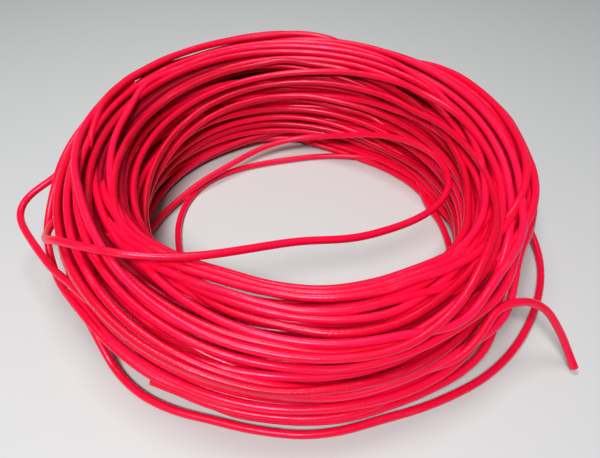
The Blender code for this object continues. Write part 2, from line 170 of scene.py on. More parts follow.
def skin(angle, place):
    """Point and outward normal on the core's outline, in the (radius, height) plane."""
    angle, place = np.broadcast_arrays(np.asarray(angle, float), np.asarray(place, float))
    inner, outer, top = inner_r(angle) + LAYER, outer_r(angle) - LAYER, top_z(angle) - LAYER
    half_width, middle_r = (outer - inner) / 2, (outer + inner) / 2
    middle_z = 0.46 * top
    above, below = top - middle_z, 1.16 * middle_z
    turn = np.interp(np.clip(place, 0, 1), OUTLINE_SHARE, OUTLINE_TURN)
    across, up = squared(np.cos(turn)), squared(np.sin(turn))
    half_height = np.where(up > 0, above, below)
    point = np.stack([middle_r + half_width * across, middle_z + half_height * up], -1)
    normal = np.stack([np.sign(across) * np.abs(across) ** (POWER - 1) / half_width,
                       np.sign(up) * np.abs(up) ** (POWER - 1) / half_height], -1)
    normal /= np.linalg.norm(normal, axis=-1, keepdims=True)
    return point, normal


def wire_at(angle, place, lift):
    """Centre of a wire as (radius, height), and the outward normal there."""
    point, normal = skin(angle, place)
    centre = point + normal * (WIRE_R + SKIN_GAP + np.asarray(lift))[..., None]
    centre[..., 1] = np.maximum(centre[..., 1], FLOOR)
    return centre, normal


def xyz(angle, centre):
    radius = centre[..., 0]
    return np.stack([radius * np.cos(angle), radius * np.sin(angle), centre[..., 1]], -1)


# ---------------------------------------------------------------- winding
class Laid:
    """The turns already laid: (radius, height) where each step starts and ends."""

    def __init__(self):
        self.starts = np.zeros((0, STATIONS, 2))
        self.ends = np.zeros((0, STATIONS, 2))

    def add(self, centre):
        self.starts = np.concatenate([self.starts, centre[None, :-1]])
        self.ends = np.concatenate([self.ends, centre[None, 1:]])

    def between(self, share):
        return (1 - share) * self.starts + share * self.ends

    def stations(self):
        """Every turn's centre at each station: stations first, then turns."""
        return np.swapaxes(np.concatenate([self.starts, self.ends[:, -1:]], 1), 0, 1)


def rise(centre, normal, other, pitch=PITCH):
    """How far a wire at centre has to move along normal to clear the wire at other."""
    apart = centre - other
    beyond = (apart * normal).sum(-1)
    excess = (apart * apart).sum(-1) - pitch ** 2
    root = np.sqrt(np.maximum(beyond * beyond - excess, 0))
    return np.where(excess < -1e-6, -beyond + root, 0.0)


def moves_needed(laid, angle, places, shares, way):
    """How far a wire must move out (way 1) or in (way -1) to clear the turns laid: at each
    candidate place, and between each two candidates of neighbouring stations."""
    centre, normal = wire_at(angle[:, None], places, 0.0)
    normal = way * normal
    at = rise(centre[:, :, None], normal[:, :, None], laid.stations()[:, None]).max(-1)
    between = np.zeros((STATIONS, len(SHIFTS), len(SHIFTS)))
    for share in shares:
        mid = (1 - share) * centre[:-1, :, None] + share * centre[1:, None, :]
        mid_normal = (1 - share) * normal[:-1, :, None] + share * normal[1:, None, :]
        others = laid.between(share)
        for k in range(STATIONS):
            need = rise(mid[k][:, :, None], mid_normal[k][:, :, None], others[None, None, :, k])
            between[k] = np.maximum(between[k], need.max(-1))
    return at, between


def cheapest(cost, cross, bend, first):
    """Cheapest row of sideways shifts: cost at each station, cross and bend from one to the next."""
    rows, columns = cost.shape
    step = bend * (SHIFTS[:, None] - SHIFTS[None, :]) ** 2
    total = np.where(np.arange(columns) == first, 0.0, 1e9)
    back = np.zeros((rows, columns), int)
    for row in range(1, rows):
        reached = total[None, :] + step + cross[row - 1].T
        back[row] = reached.argmin(1)
        total = reached.min(1) + cost[row]
    path = np.zeros(rows, int)
    path[-1] = total.argmin()
    for row in range(rows - 1, 0, -1):
        path[row - 1] = back[row, path[row]]
    return path


def lift_needed(laid, angle, place, lift):
    """For each station, how much higher the wire has to run there to clear those already laid."""
    needed = np.zeros(len(angle))
    if not len(laid.starts):
        return needed
    centre, normal = wire_at(angle, place, lift)
    skew = np.linalg.norm((centre[1:] - centre[:-1]) - (laid.ends - laid.starts), axis=-1)
    skew = skew / (centre[:-1, 0] * 2 * np.pi / STATIONS)
    pitch = PITCH * np.sqrt(1 + skew ** 2)
    for share in SHARES:
        mid = (1 - share) * centre[:-1] + share * centre[1:]
        mid_normal = (1 - share) * normal[:-1] + share * normal[1:]
        mid_normal = mid_normal / np.linalg.norm(mid_normal, axis=-1, keepdims=True)
        up = rise(mid, mid_normal, laid.between(share), pitch).max(0)
        weight = (1 - share) ** 2 + share ** 2
        needed[:-1] = np.maximum(needed[:-1], up * (1 - share) / weight)
        needed[1:] = np.maximum(needed[1:], up * share / weight)
    return needed


def surface_aim():
    """Angles and places the surface winding aims for: to and fro across the section, wandering."""
    rng = np.random.default_rng(21)
    count = TURNS * STATIONS + 1
    turn = np.arange(count) / STATIONS
    angle = START + 2 * np.pi * turn
    sweep = np.abs(((0.13 + 0.2345 * turn) % 2) - 1)
    place = 0.07 + 0.87 * (1 - sweep)
    place = (place + smooth_noise(rng, count, STATIONS / 3.2, 0.032)
             + smooth_noise(rng, count, STATIONS / 1.6, 0.05))
    place = fold(place)
    # the turns lean outwards at the front and inwards at the left
    degrees = np.degrees(angle) % 360
    fan = 0.16 * bell(degrees - 288, 36) - 0.07 * bell(degrees - 200, 40)
    return angle, fold(place + fan * 4 * place * (1 - place))


def rested(laid, angle, place, lowest):
    """Lift of one turn: raised clear of those laid, then sunk wherever nothing is under it."""
    lift = lowest.copy()
    for _ in range(60):
        up = lift_needed(laid, angle, place, lift)
        sag = (lift[:-2] + lift[2:]) / 2 - DIP
        up[1:-1] = np.maximum(up[1:-1], sag - lift[1:-1])
        if up.max() < 0.01:
            break
        lift = lift + up
    # every third station at a time, so that neighbours do not move together
    for k in range(90):
        trial = lift.copy()
        trial[k % 3::3] = np.maximum(lowest[k % 3::3], trial[k % 3::3] - 0.9)
        bad = lift_needed(laid, angle, place, trial) > 0.01
        bad[1:-1] |= trial[1:-1] < (trial[:-2] + trial[2:]) / 2 - DIP - 0.01
        stuck = bad.copy()
        stuck[1:] |= bad[:-1]
        stuck[:-1] |= bad[1:]
        lift = np.where(stuck, lift, trial)
    return lift


def wind_surface():
    """Lay the surface turns one by one, each falling into the grooves left by those before."""
    angle, aim = surface_aim()
    place = aim.copy()
    lift = np.zeros(len(angle))
    laid = Laid()
    last = len(SHIFTS) // 2
    for turn in range(TURNS):
        span = np.arange(turn * STATIONS, (turn + 1) * STATIONS + 1)
        if turn > 0:
            places = np.clip(aim[span][:, None] + SHIFTS, 0, 1)
            at, between = moves_needed(laid, angle[span], places, shares=SHARES[1:-1], way=1)
            cost = at ** 1.3 * 0.5 + 25 * np.abs(SHIFTS)
            path = cheapest(cost, between ** 1.3 * 0.5, bend=3200.0, first=last)
            last = path[-1]
            place[span] = np.clip(aim[span] + SHIFTS[path], 0, 1)
        lift[span] = rested(laid, angle[span], place[span], lift[span])
        centre, _ = wire_at(angle[span], place[span], lift[span])
        if turn > 0:
            laid.ends[-1, -1] = centre[0]
        laid.add(centre)
    return angle, place, lift


def dipped(laid, angle, place):
    """How deep one gap turn has to run to pass under the turns already laid."""
    depth = np.zeros(len(angle))
    for _ in range(40):
        centre, normal = wire_at(angle, place, -depth)
        more = rise(centre[:, None], -normal[:, None], laid.stations()).max(-1)
        more = np.minimum(more, GAP_DEEPEST - depth)
        for share in SHARES[1:-1]:
            mid = (1 - share) * centre[:-1] + share * centre[1:]
            mid_normal = (1 - share) * normal[:-1] + share * normal[1:]
            down = rise(mid, -mid_normal, laid.between(share)).max(0)
            down = np.minimum(down, GAP_DEEPEST - np.maximum(depth[:-1], depth[1:]))
            more[:-1] = np.maximum(more[:-1], down * (1 - share))
            more[1:] = np.maximum(more[1:], down * share)
        sag = (depth[:-2] + depth[2:]) / 2 - GAP_DIP
        more[1:-1] = np.maximum(more[1:-1], sag - depth[1:-1])
        more = np.maximum(more, 0)
        if more.max() < 0.02:
            break
        depth = depth + more
    return depth


def wind_gaps(surface):
    """Turns that fill the gaps between the surface turns (surface: their radius and height)."""
    rng = np.random.default_rng(4)
    laid = Laid()
    for turn in range(TURNS):
        laid.add(surface[turn * STATIONS:(turn + 1) * STATIONS + 1])
    count = GAP_TURNS * STATIONS + 1
    turns = np.arange(count) / STATIONS
    angle = START + 2 * np.pi * turns
    sweep = np.abs(((0.62 + 0.31 * turns) % 2) - 1)
    place = fold(0.06 + 0.88 * sweep + smooth_noise(rng, count, STATIONS / 4.0, 0.03)
                 + smooth_noise(rng, count, STATIONS / 2.0, 0.04))
    lift = np.zeros(count)
    last = len(SHIFTS) // 2
    dearest = 6.5
    for turn in range(GAP_TURNS):
        span = np.arange(turn * STATIONS, (turn + 1) * STATIONS + 1)
        places = np.clip(place[span][:, None] + SHIFTS, 0, 1)
        at, between = moves_needed(laid, angle[span], places, shares=(0.33, 0.67), way=-1)
        cost = np.minimum(at, dearest) * 1.2 + 14 * np.abs(SHIFTS)
        path = cheapest(cost, np.minimum(between, dearest), bend=1500.0, first=last)
        last = path[-1]
        place[span] = np.clip(place[span] + SHIFTS[path], 0, 1)
        lift[span] = -dipped(laid, angle[span], place[span])
        laid.add(wire_at(angle[span], place[span], lift[span])[0])
    return angle, place, lift


def tucked(angle, place, lift):
    """The winding with both ends run on round the ring and down into the bundle."""
    k = np.arange(1, TUCK_STEPS + 1)
    share = (k / TUCK_STEPS) ** 1.4
    step = 2 * np.pi / STATIONS
    angle = np.concatenate([(angle[0] - step * k)[::-1], angle, angle[-1] + step * k])
    place = np.concatenate([np.full(TUCK_STEPS, place[0]), place, np.full(TUCK_STEPS, place[-1])])
    lift = np.concatenate([(lift[0] + (TUCK_LIFT - lift[0]) * share)[::-1], lift,
                           lift[-1] + (TUCK_LIFT - lift[-1]) * share])
    return angle, place, lift


def eased(angle, centre, passes=10, most=7.0):
    """Take the short kinks out, by most millimetres at most, or by more where a turn steps across
    its neighbours. Next to the long free end, which swings past, the turns stay put."""
    out = centre.copy()
    for _ in range(passes):
        out[1:-1] = (out[:-2] + 2 * out[1:-1] + out[2:]) / 4
    move = out - centre
    distance = np.linalg.norm(move, axis=1, keepdims=True)
    keep = 1.0 - bell(degrees_from(angle, 321), 15.0)
    step = np.maximum(np.linalg.norm(np.diff(centre, axis=0), axis=1) - 14.0, 0.0)
    step = np.maximum(np.append(step, 0.0), np.append(0.0, step))
    for _ in range(2):
        step[1:-1] = np.maximum(step[1:-1], np.maximum(step[:-2], step[2:]) * 0.9)
    limit = (most + 1.1 * step)[:, None]
    out = centre + move * keep[:, None] * np.minimum(1.0, limit / np.maximum(distance, 1e-6))
    out[:, 1] = np.maximum(out[:, 1], FLOOR)
    return out


def drawn_in(angle, centre):
    """The hank is slimmer at its right front: the outer side is pressed inwards there, and the
    inner wall beside it is pressed outwards."""
    radius, height = centre[..., 0], centre[..., 1]
    outer = (bell(degrees_from(angle, 331), 13.0) * ease((radius - 146) / 36)
             * (1 - ease((height - 56) / 30)))
    inner = (bell(degrees_from(angle, 319), 15.0) * (1 - ease((radius - 134) / 28))
             * ease((height - 14) / 24))
    out = centre.copy()
    out[..., 0] = radius - 9.0 * outer + 5.0 * inner
    return out


# ---------------------------------------------------------------- slack lengths and ends
# Stations of each slack length: angle round the ring (degrees), radius, height (mm).
# They are laid in this order, each keeping clear of those before it.
LOOPS = {
    "floor_loop": [
        (224, 122, 5), (210, 113, 3), (197, 111, 3), (180, 113, 3), (164, 115, 3), (148, 114, 3),
        (132, 108, 3), (115, 102, 3), (98, 101, 3), (82, 107, 3), (70, 113, 3.5)],
    "inner_floor_strand": [(15, 122, 4), (6, 127, 3), (356, 130, 3), (346, 133, 5)],
    "slack_turn_inner": [
        (183, 137, 5), (174, 129, 5), (163, 120, 6), (152, 113, 9), (138, 107, 12),
        (126, 106, 15), (112, 110, 18), (92, 114, 23), (70, 114, 32), (54, 114, 43),
        (38, 116, 52), (22, 122, 57), (9, 125, 59)],
    "front_end": [
        (285, 184, 13), (275, 185, 12), (266, 185, 12), (258, 185, 13), (251, 185.5, 14),
        (245, 187, 14), (238.5, 191, 14)],
    "bow_loop": [
        (173, 197, 66), (180, 207, 60), (183, 222, 55), (185.5, 232, 50), (189, 232, 47),
        (194, 223, 46), (200.5, 212, 46), (207.5, 203, 48), (214, 195, 52), (219, 192, 55)],
    "sag_loop": [
        (213, 195, 40), (219, 195, 28), (223.5, 196, 15), (228, 198, 5), (233.5, 199, 3),
        (239, 199, 3), (247, 196, 3), (253, 193, 3)],
    "loose_turn": [
        (258, 193, 3), (264, 193, 3), (271, 194, 3), (279, 193, 3), (287, 191, 3), (295, 193, 3),
        (303, 196, 3), (311, 200, 3), (320, 203, 3), (330, 205, 3), (340, 207, 3), (348, 208, 3),
        (354, 206, 6), (0, 202, 10), (6, 198, 14)],
    "slack_span": [
        (4, 123, 60), (357, 123, 61), (350, 119, 61), (342, 112, 60), (331, 103, 62),
        (316, 94, 66), (295, 89, 71), (271, 89, 77), (252, 107, 82), (238.5, 134, 87),
        (227.5, 160, 92), (217, 182, 92), (211, 193, 87), (207, 199, 76), (201, 201, 64),
        (195, 201, 55)],
    "tail": [
        (303, 190, 44), (309, 189, 53), (314.5, 186, 60), (320, 193.5, 57), (323, 201.5, 52),
        (324.5, 211, 44), (325, 219, 34.5), (325.2, 227, 24), (325, 235, 13),
        (324.3, 243.5, 3.8)],
}
# Lengths that bend: the stations at which they hinge, how far each side of the hinge the wire is
# cut back (mm), and the names of the pieces between.
CHAINS = {
    "front_end": ([4], [1.6], ["front_end_run", "front_cut_end"]),
    "slack_span": ([11], [0.6], ["slack_span", "slack_span_end"]),
    "tail": ([2, 4, 6], [2.1, 1.7, 1.7], ["tail_root", "tail_lead", "tail_bend", "tail_tip"]),
}
# Where each slack length runs on inside the bundle, before its start and after its end;
# columns as in LOOPS.
BEFORE = {
    "bow_loop": [(130, 164, 68), (142, 173, 71), (154, 182, 71), (164, 190, 69)],
    "sag_loop": [(180, 170, 54), (189, 178, 53), (198, 186, 51), (206, 191.5, 47)],
    "slack_turn_inner": [(207, 151, 10), (199, 147, 8), (190.5, 142, 6)],
    "floor_loop": [(249, 137, 7), (240, 133, 6), (232, 127.5, 5.4)],
    "inner_floor_strand": [(33, 131, 9), (24, 127, 6)],
    "front_end": [(302, 176, 15), (293, 180.5, 14)],
    "tail": [(281, 178, 35), (289, 182, 38), (296, 186, 41)],
}
AFTER = {
    "loose_turn": [(13, 192, 19), (21, 184, 23), (30, 175, 26), (38, 168, 28)],
    "slack_span_end": [(189, 196, 50), (182, 189, 47), (174, 181, 46), (165, 172, 46),
                       (156, 165, 46)],
    "floor_loop": [(60, 118.5, 5), (50, 124, 8), (40, 130, 10)],
    "inner_floor_strand": [(338, 138, 7), (329, 142, 9)],
    "bow_loop": [(226, 186, 54), (234, 178, 51), (243, 170, 48), (252, 163, 46)],
}


def path_of(stations):
    """Points through rows of (angle in degrees, radius, height)."""
    rows = np.array(stations, float)
    return xyz(np.radians(rows[:, 0]), rows[:, 1:])


def gap_between(start_1, end_1, start_2, end_2):
    """Closest points of two straight lengths, as (distance, vector from the second to the first,
    share along the first)."""
    dir_1, dir_2, offset = end_1 - start_1, end_2 - start_2, start_1 - start_2
    len_1, len_2 = (dir_1 * dir_1).sum(-1), (dir_2 * dir_2).sum(-1)
    dot_2, dot_1 = (dir_2 * offset).sum(-1), (dir_1 * offset).sum(-1)
    cross = (dir_1 * dir_2).sum(-1)
    slant = len_1 * len_2 - cross * cross     # zero where the two are parallel
    free = (cross * dot_2 - dot_1 * len_2) / np.where(slant > 1e-9, slant, 1.0)
    share_1 = np.clip(np.where(slant > 1e-9, free, 0.0), 0, 1)
    share_2 = (cross * share_1 + dot_2) / len_2
    at_end = np.where(share_2 > 1, np.clip((cross - dot_1) / len_1, 0, 1), share_1)
    share_1 = np.where(share_2 < 0, np.clip(-dot_1 / len_1, 0, 1), at_end)
    share_2 = np.clip(share_2, 0, 1)
    apart = start_1 + dir_1 * share_1[..., None] - start_2 - dir_2 * share_2[..., None]
    return np.linalg.norm(apart, axis=-1), apart, share_1


def core_push(points):
    """The move that brings each point of a wire clear of the core."""
    angle = np.arctan2(points[:, 1], points[:, 0])
    section = np.stack([np.hypot(points[:, 0], points[:, 1]), points[:, 2]], -1)
    outline, normals = skin(angle[:, None], np.linspace(0, 1, 121)[None, :])
    apart = section[:, None] - outline
    nearest_place = np.linalg.norm(apart, axis=-1).argmin(1)
    rows = np.arange(len(points))
    normal = normals[rows, nearest_place]
    short = WIRE_R + 0.5 - (apart[rows, nearest_place] * normal).sum(-1)
    short = np.maximum(short, 0)
    radial = np.stack([np.cos(angle), np.sin(angle)], -1)
    return np.concatenate([radial * normal[:, :1], normal[:, 1:]], 1) * short[:, None]


def settle(points, others):
    """Lay one slack length among others: it keeps to its line but moves out of what it would cut."""
    line = points.copy()
    near = np.concatenate([np.stack([other[:-1], other[1:]], 1) for other in others])
    low, high = points.min(0) - 25, points.max(0) + 25
    near = near[((near.max(1) > low) & (near.min(1) < high)).all(1)]
    rows = np.arange(len(line) - 1)
    for k in range(SETTLE_ROUNDS):
        free = k > SETTLE_ROUNDS * 0.7
        if not free:
            line += SETTLE_HOLD * (points - line)
            off = line - points
            line[1:-1] += 0.3 * ((off[:-2] + off[2:]) / 2 - off[1:-1])
        distance, apart, share = gap_between(line[:-1, None], line[1:, None],
                                             near[None, :, 0], near[None, :, 1])
        short = np.maximum(WIRE_D + SETTLE_AIR - distance, 0)
        push = apart / np.maximum(distance, 1e-6)[..., None] * short[..., None]
        worst = short.argmax(1)
        push = push[rows, worst]
        share = share[rows, worst][:, None]
        weight = (1 - share) ** 2 + share ** 2
        move = np.zeros_like(line)
        move[:-1] += push * (1 - share) / weight
        move[1:] += push * share / weight
        line += move * 0.8
        mid_push = core_push((line[:-1] + line[1:]) / 2)
        line[:-1] += 0.5 * mid_push
        line[1:] += 0.5 * mid_push
        line += core_push(line)
        line[:, 2] = np.maximum(line[:, 2], FLOOR)
        if free and short.max() < 0.02:
            break
    return line


def drawn_back(points, start, end):
    """The same length with its two ends cut back along the wire by start and end."""
    out = points.copy()
    out[0] += (out[1] - out[0]) / np.linalg.norm(out[1] - out[0]) * start
    out[-1] += (out[-2] - out[-1]) / np.linalg.norm(out[-2] - out[-1]) * end
    return out


def lay_slack(winding):
    """Settled points of every slack piece by name, and the hinge points of the lengths that bend."""
    laid = [drawn_back(winding[k * STATIONS:(k + 1) * STATIONS + 1], 1.2, 1.2)
            for k in range(TURNS)]
    pieces, hinges = {}, {}
    for name, stations in LOOPS.items():
        line = settle(path_of(stations), laid)
        laid.append(line)
        if name not in CHAINS:
            pieces[name] = line
            continue
        cuts, backs, names = CHAINS[name]
        ends = [0] + cuts + [len(line) - 1]
        backs = [0.0] + backs + [0.0]
        hinges[name] = [line[cut] for cut in cuts]
        for k, piece in enumerate(names):
            pieces[piece] = drawn_back(line[ends[k]:ends[k + 1] + 1], backs[k], backs[k + 1])
    return pieces, hinges


# ---------------------------------------------------------------- lines of wire
def lengths(points):
    """Length along the line at every point."""
    return np.concatenate([[0], np.cumsum(np.linalg.norm(np.diff(points, axis=0), axis=1))])


def spline(points, per):
    """A smooth line through points (Catmull-Rom, square roots of the chords as spacing), with per
    steps to a length."""
    points = np.asarray(points, float)
    padded = np.concatenate([[2 * points[0] - points[1]], points, [2 * points[-1] - points[-2]]])
    out = []
    for i in range(len(points) - 1):
        p0, p1, p2, p3 = padded[i:i + 4]
        t0 = 0.0
        t1 = t0 + max(np.linalg.norm(p1 - p0), 1e-3) ** 0.5
        t2 = t1 + max(np.linalg.norm(p2 - p1), 1e-3) ** 0.5
        t3 = t2 + max(np.linalg.norm(p3 - p2), 1e-3) ** 0.5
        for k in range(per):
            t = t1 + (t2 - t1) * k / per
            a1 = (t1 - t) / (t1 - t0) * p0 + (t - t0) / (t1 - t0) * p1
            a2 = (t2 - t) / (t2 - t1) * p1 + (t - t1) / (t2 - t1) * p2
            a3 = (t3 - t) / (t3 - t2) * p2 + (t - t2) / (t3 - t2) * p3
            b1 = (t2 - t) / (t2 - t0) * a1 + (t - t0) / (t2 - t0) * a2
            b2 = (t3 - t) / (t3 - t1) * a2 + (t - t1) / (t3 - t1) * a3
            out.append((t2 - t) / (t2 - t1) * b1 + (t - t1) / (t2 - t1) * b2)
    out.append(points[-1])
    return np.array(out)


def even(points, step):
    """The same line with points every step millimetres or so."""
    length = lengths(points)
    count = max(int(round(length[-1] / step)), 2)
    where = np.linspace(0, length[-1], count + 1)
    return np.stack([np.interp(where, length, points[:, k]) for k in range(3)], -1)


def smooth_line(points, step=2.6, reach=8.0):
    """Even points on a smooth line, with bends shorter than about reach millimetres eased out."""
    line = even(spline(points, 10), step)
    for _ in range(int(2 * (reach / step) ** 2)):
        line[1:-1] = (line[:-2] + 2 * line[1:-1] + line[2:]) / 4
    line[:, 2] = np.maximum(line[:, 2], FLOOR)
    return even(line, step)


def joined(*parts):
    """Lines put end to end; where one stops within 5 mm of the next, only the middle is kept."""
    out = [parts[0]]
    for part in parts[1:]:
        last = out[-1]
        if np.linalg.norm(last[-1] - part[0]) < 5.0:
            middle = (last[-1] + part[0]) / 2
            out[-1] = last[:-1]
            part = np.concatenate([[middle], part[1:]])
        out.append(part)
    return np.concatenate(out)


def wander(points, size, span, seed):
    """Add the small kinks that every hand-wound wire keeps."""
    rng = np.random.default_rng(seed)
    kinks = np.stack([smooth_noise(rng, len(points), span, size) for _ in range(3)], -1)
    kinks[:, 2] *= 0.6
    out = points + kinks
    out[:, 2] = np.maximum(out[:, 2], FLOOR)
    return out


def nearest(points, where):
    """Index of the point nearest to where."""
    return int(np.linalg.norm(points - where, axis=1).argmin())


def point_along(points, index, distance):
    """The point that lies distance further along the line than its point index."""
    length = lengths(points)
    where = np.clip(length[index] + distance, 0, length[-1])
    return np.array([np.interp(where, length, points[:, k]) for k in range(3)])


def frames(points):
    """Tangent and two sideways directions at every point, turned as little as possible."""
    tangent = np.gradient(points, axis=0)
    tangent /= np.linalg.norm(tangent, axis=1, keepdims=True)
    up = np.array([0.0, 0.0, 1.0])
    side = np.zeros_like(points)
    first = up - tangent[0] * (up @ tangent[0])
    if np.linalg.norm(first) < 0.2:
        first = np.array([1.0, 0.0, 0.0]) - tangent[0] * tangent[0][0]
    side[0] = first / np.linalg.norm(first)
    for i in range(1, len(points)):
        turned = side[i - 1] - tangent[i] * (side[i - 1] @ tangent[i])
        side[i] = turned / np.linalg.norm(turned)
    return tangent, side, np.cross(tangent, side)


# A line with its frames and the length of wire before it, so that marks run on across a join.
Run = namedtuple("Run", "points frames start")


def run_of(points, start=0.0):
    return Run(points, frames(points), start)


def part(run, first, stop):
    return Run(run.points[first:stop], tuple(rows[first:stop] for rows in run.frames),
               run.start + lengths(run.points)[first])


# ---------------------------------------------------------------- wire as meshes
class TubeMesh:
    """Gathers tubes into one mesh, with the place along and round the wire for the materials."""

    def __init__(self):
        self.vertices, self.marks, self.faces, self.slots = [], [], [], []
        self.count = 0

    def add_rings(self, points, side, other, radius, sides, arc, tone_and_shade):
        """One ring of vertices round every point; returns the index of the first vertex."""
        turn = np.arange(sides) * 2 * np.pi / sides
        radius = np.broadcast_to(np.asarray(radius, float), (len(points),))
        out = (np.cos(turn)[None, :, None] * side[:, None]
               + np.sin(turn)[None, :, None] * other[:, None])
        rings = points[:, None] + radius[:, None, None] * out
        tone_and_shade = np.broadcast_to(tone_and_shade, (len(points),))
        marks = (arc[:, None], np.cos(turn)[None], np.sin(turn)[None], tone_and_shade[:, None])
        marks = np.stack([np.broadcast_to(mark, rings.shape[:2]) for mark in marks], -1)
        self.vertices.append(rings.reshape(-1, 3))
        self.marks.append(marks.reshape(-1, 4))
        base = self.count
        self.count += len(points) * sides
        return base

    def add_bands(self, base, rings, sides, slots):
        """Quads from each ring to the next, one band per material slot; the last may close."""
        ring = np.arange(len(slots))[:, None]
        near, far = base + ring * sides, base + (ring + 1) % rings * sides
        corner = np.arange(sides)[None, :]
        after = (corner + 1) % sides
        quads = np.stack([near + corner, near + after, far + after, far + corner], -1)
        self.faces += quads.reshape(-1, 4).tolist()
        self.slots += np.repeat(slots, sides).tolist()

    def tube(self, run, radius=TUBE_R, sides=TUBE_SIDES, tone_and_shade=0.5, capped=True):
        _, side, other = run.frames
        rings = len(run.points)
        arc = run.start + lengths(run.points)
        base = self.add_rings(run.points, side, other, radius, sides, arc, tone_and_shade)
        self.add_bands(base, rings, sides, [0] * (rings - 1))
        if capped:
            last = base + (rings - 1) * sides
            self.faces.append(list(range(base, base + sides))[::-1])
            self.faces.append(list(range(last, last + sides)))
            self.slots += [0, 0]

    def sleeve(self, run, cut):
        """A length of jacket with an open bore; if cut, the edge at its far end is just broken."""
        end = len(run.points) - 1
        # rings out along the jacket, over the far end and back down the bore:
        # radius, shift along the wire, point index, material slot
        rows = [(TUBE_R, 0.0, i, 0) for i in range(end)]
        if cut:
            rows += [(TUBE_R, -0.2, end, 0), (TUBE_R - 0.18, 0.0, end, 1),
                     (BORE_R + 0.1, -0.05, end, 1), (BORE_R, -0.35, end, 0)]
        else:
            rows += [(TUBE_R, 0.0, end, 1), (BORE_R, 0.0, end, 0)]
        rows += [(BORE_R, 0.0, i, 0) for i in range(end - 1, 0, -1)]
        rows += [(BORE_R, 0.0, 0, 1)]
        radius, shift, at, slots = (list(column) for column in zip(*rows))
        tangent, side, other = run.frames
        points = run.points[at] + tangent[at] * np.array(shift)[:, None]
        arc = (run.start + lengths(run.points))[at]
        base = self.add_rings(points, side[at], other[at], radius, SLEEVE_SIDES, arc, 0.5)
        self.add_bands(base, len(rows), SLEEVE_SIDES, slots)

    def build(self, name, *materials):
        mesh = bpy.data.meshes.new(name)
        vertices = (np.concatenate(self.vertices) - MIDDLE) * MM
        mesh.from_pydata(vertices.tolist(), [], self.faces)
        mesh.update()
        for material in materials:
            mesh.materials.append(material)
        mesh.polygons.foreach_set("material_index", np.array(self.slots, np.int32))
        mesh.polygons.foreach_set("use_smooth", np.full(len(self.faces), True))
        arc, cosine, sine, tone_and_shade = np.concatenate(self.marks).T
        around = np.stack([arc * MM, cosine * TUBE_R * MM, sine * TUBE_R * MM], -1)
        for title, kind, field, values in (("along", "FLOAT", "value", arc * MM),
                                           ("around", "FLOAT_VECTOR", "vector", around),
                                           ("tone_and_shade", "FLOAT", "value", tone_and_shade)):
            attribute = mesh.attributes.new(title, kind, "POINT")
            attribute.data.foreach_set(field, values.astype(np.float32).ravel())
        obj = bpy.data.objects.new(name, mesh)
        bpy.context.scene.collection.objects.link(obj)
        mark_sharp(mesh)
        return obj


def mark_sharp(mesh):
    """Keep the edge sharp where a flat cut face meets the jacket."""
    bm = bmesh.new()
    bm.from_mesh(mesh)
    bm.normal_update()
    for edge in bm.edges:
        if len(edge.link_faces) == 2 and edge.calc_face_angle() > math.radians(50):
            edge.smooth = False
    bm.to_mesh(mesh)
    bm.free()


def attach(obj, replaced, bodies=("coil",), bend=None):
    """Tie the object to the first body; when a bend is given, only bake its placement into its mesh.
    """
    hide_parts(*replaced)
    if bend is None:
        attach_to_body(obj, bodies[0])
    else:
        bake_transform(obj)


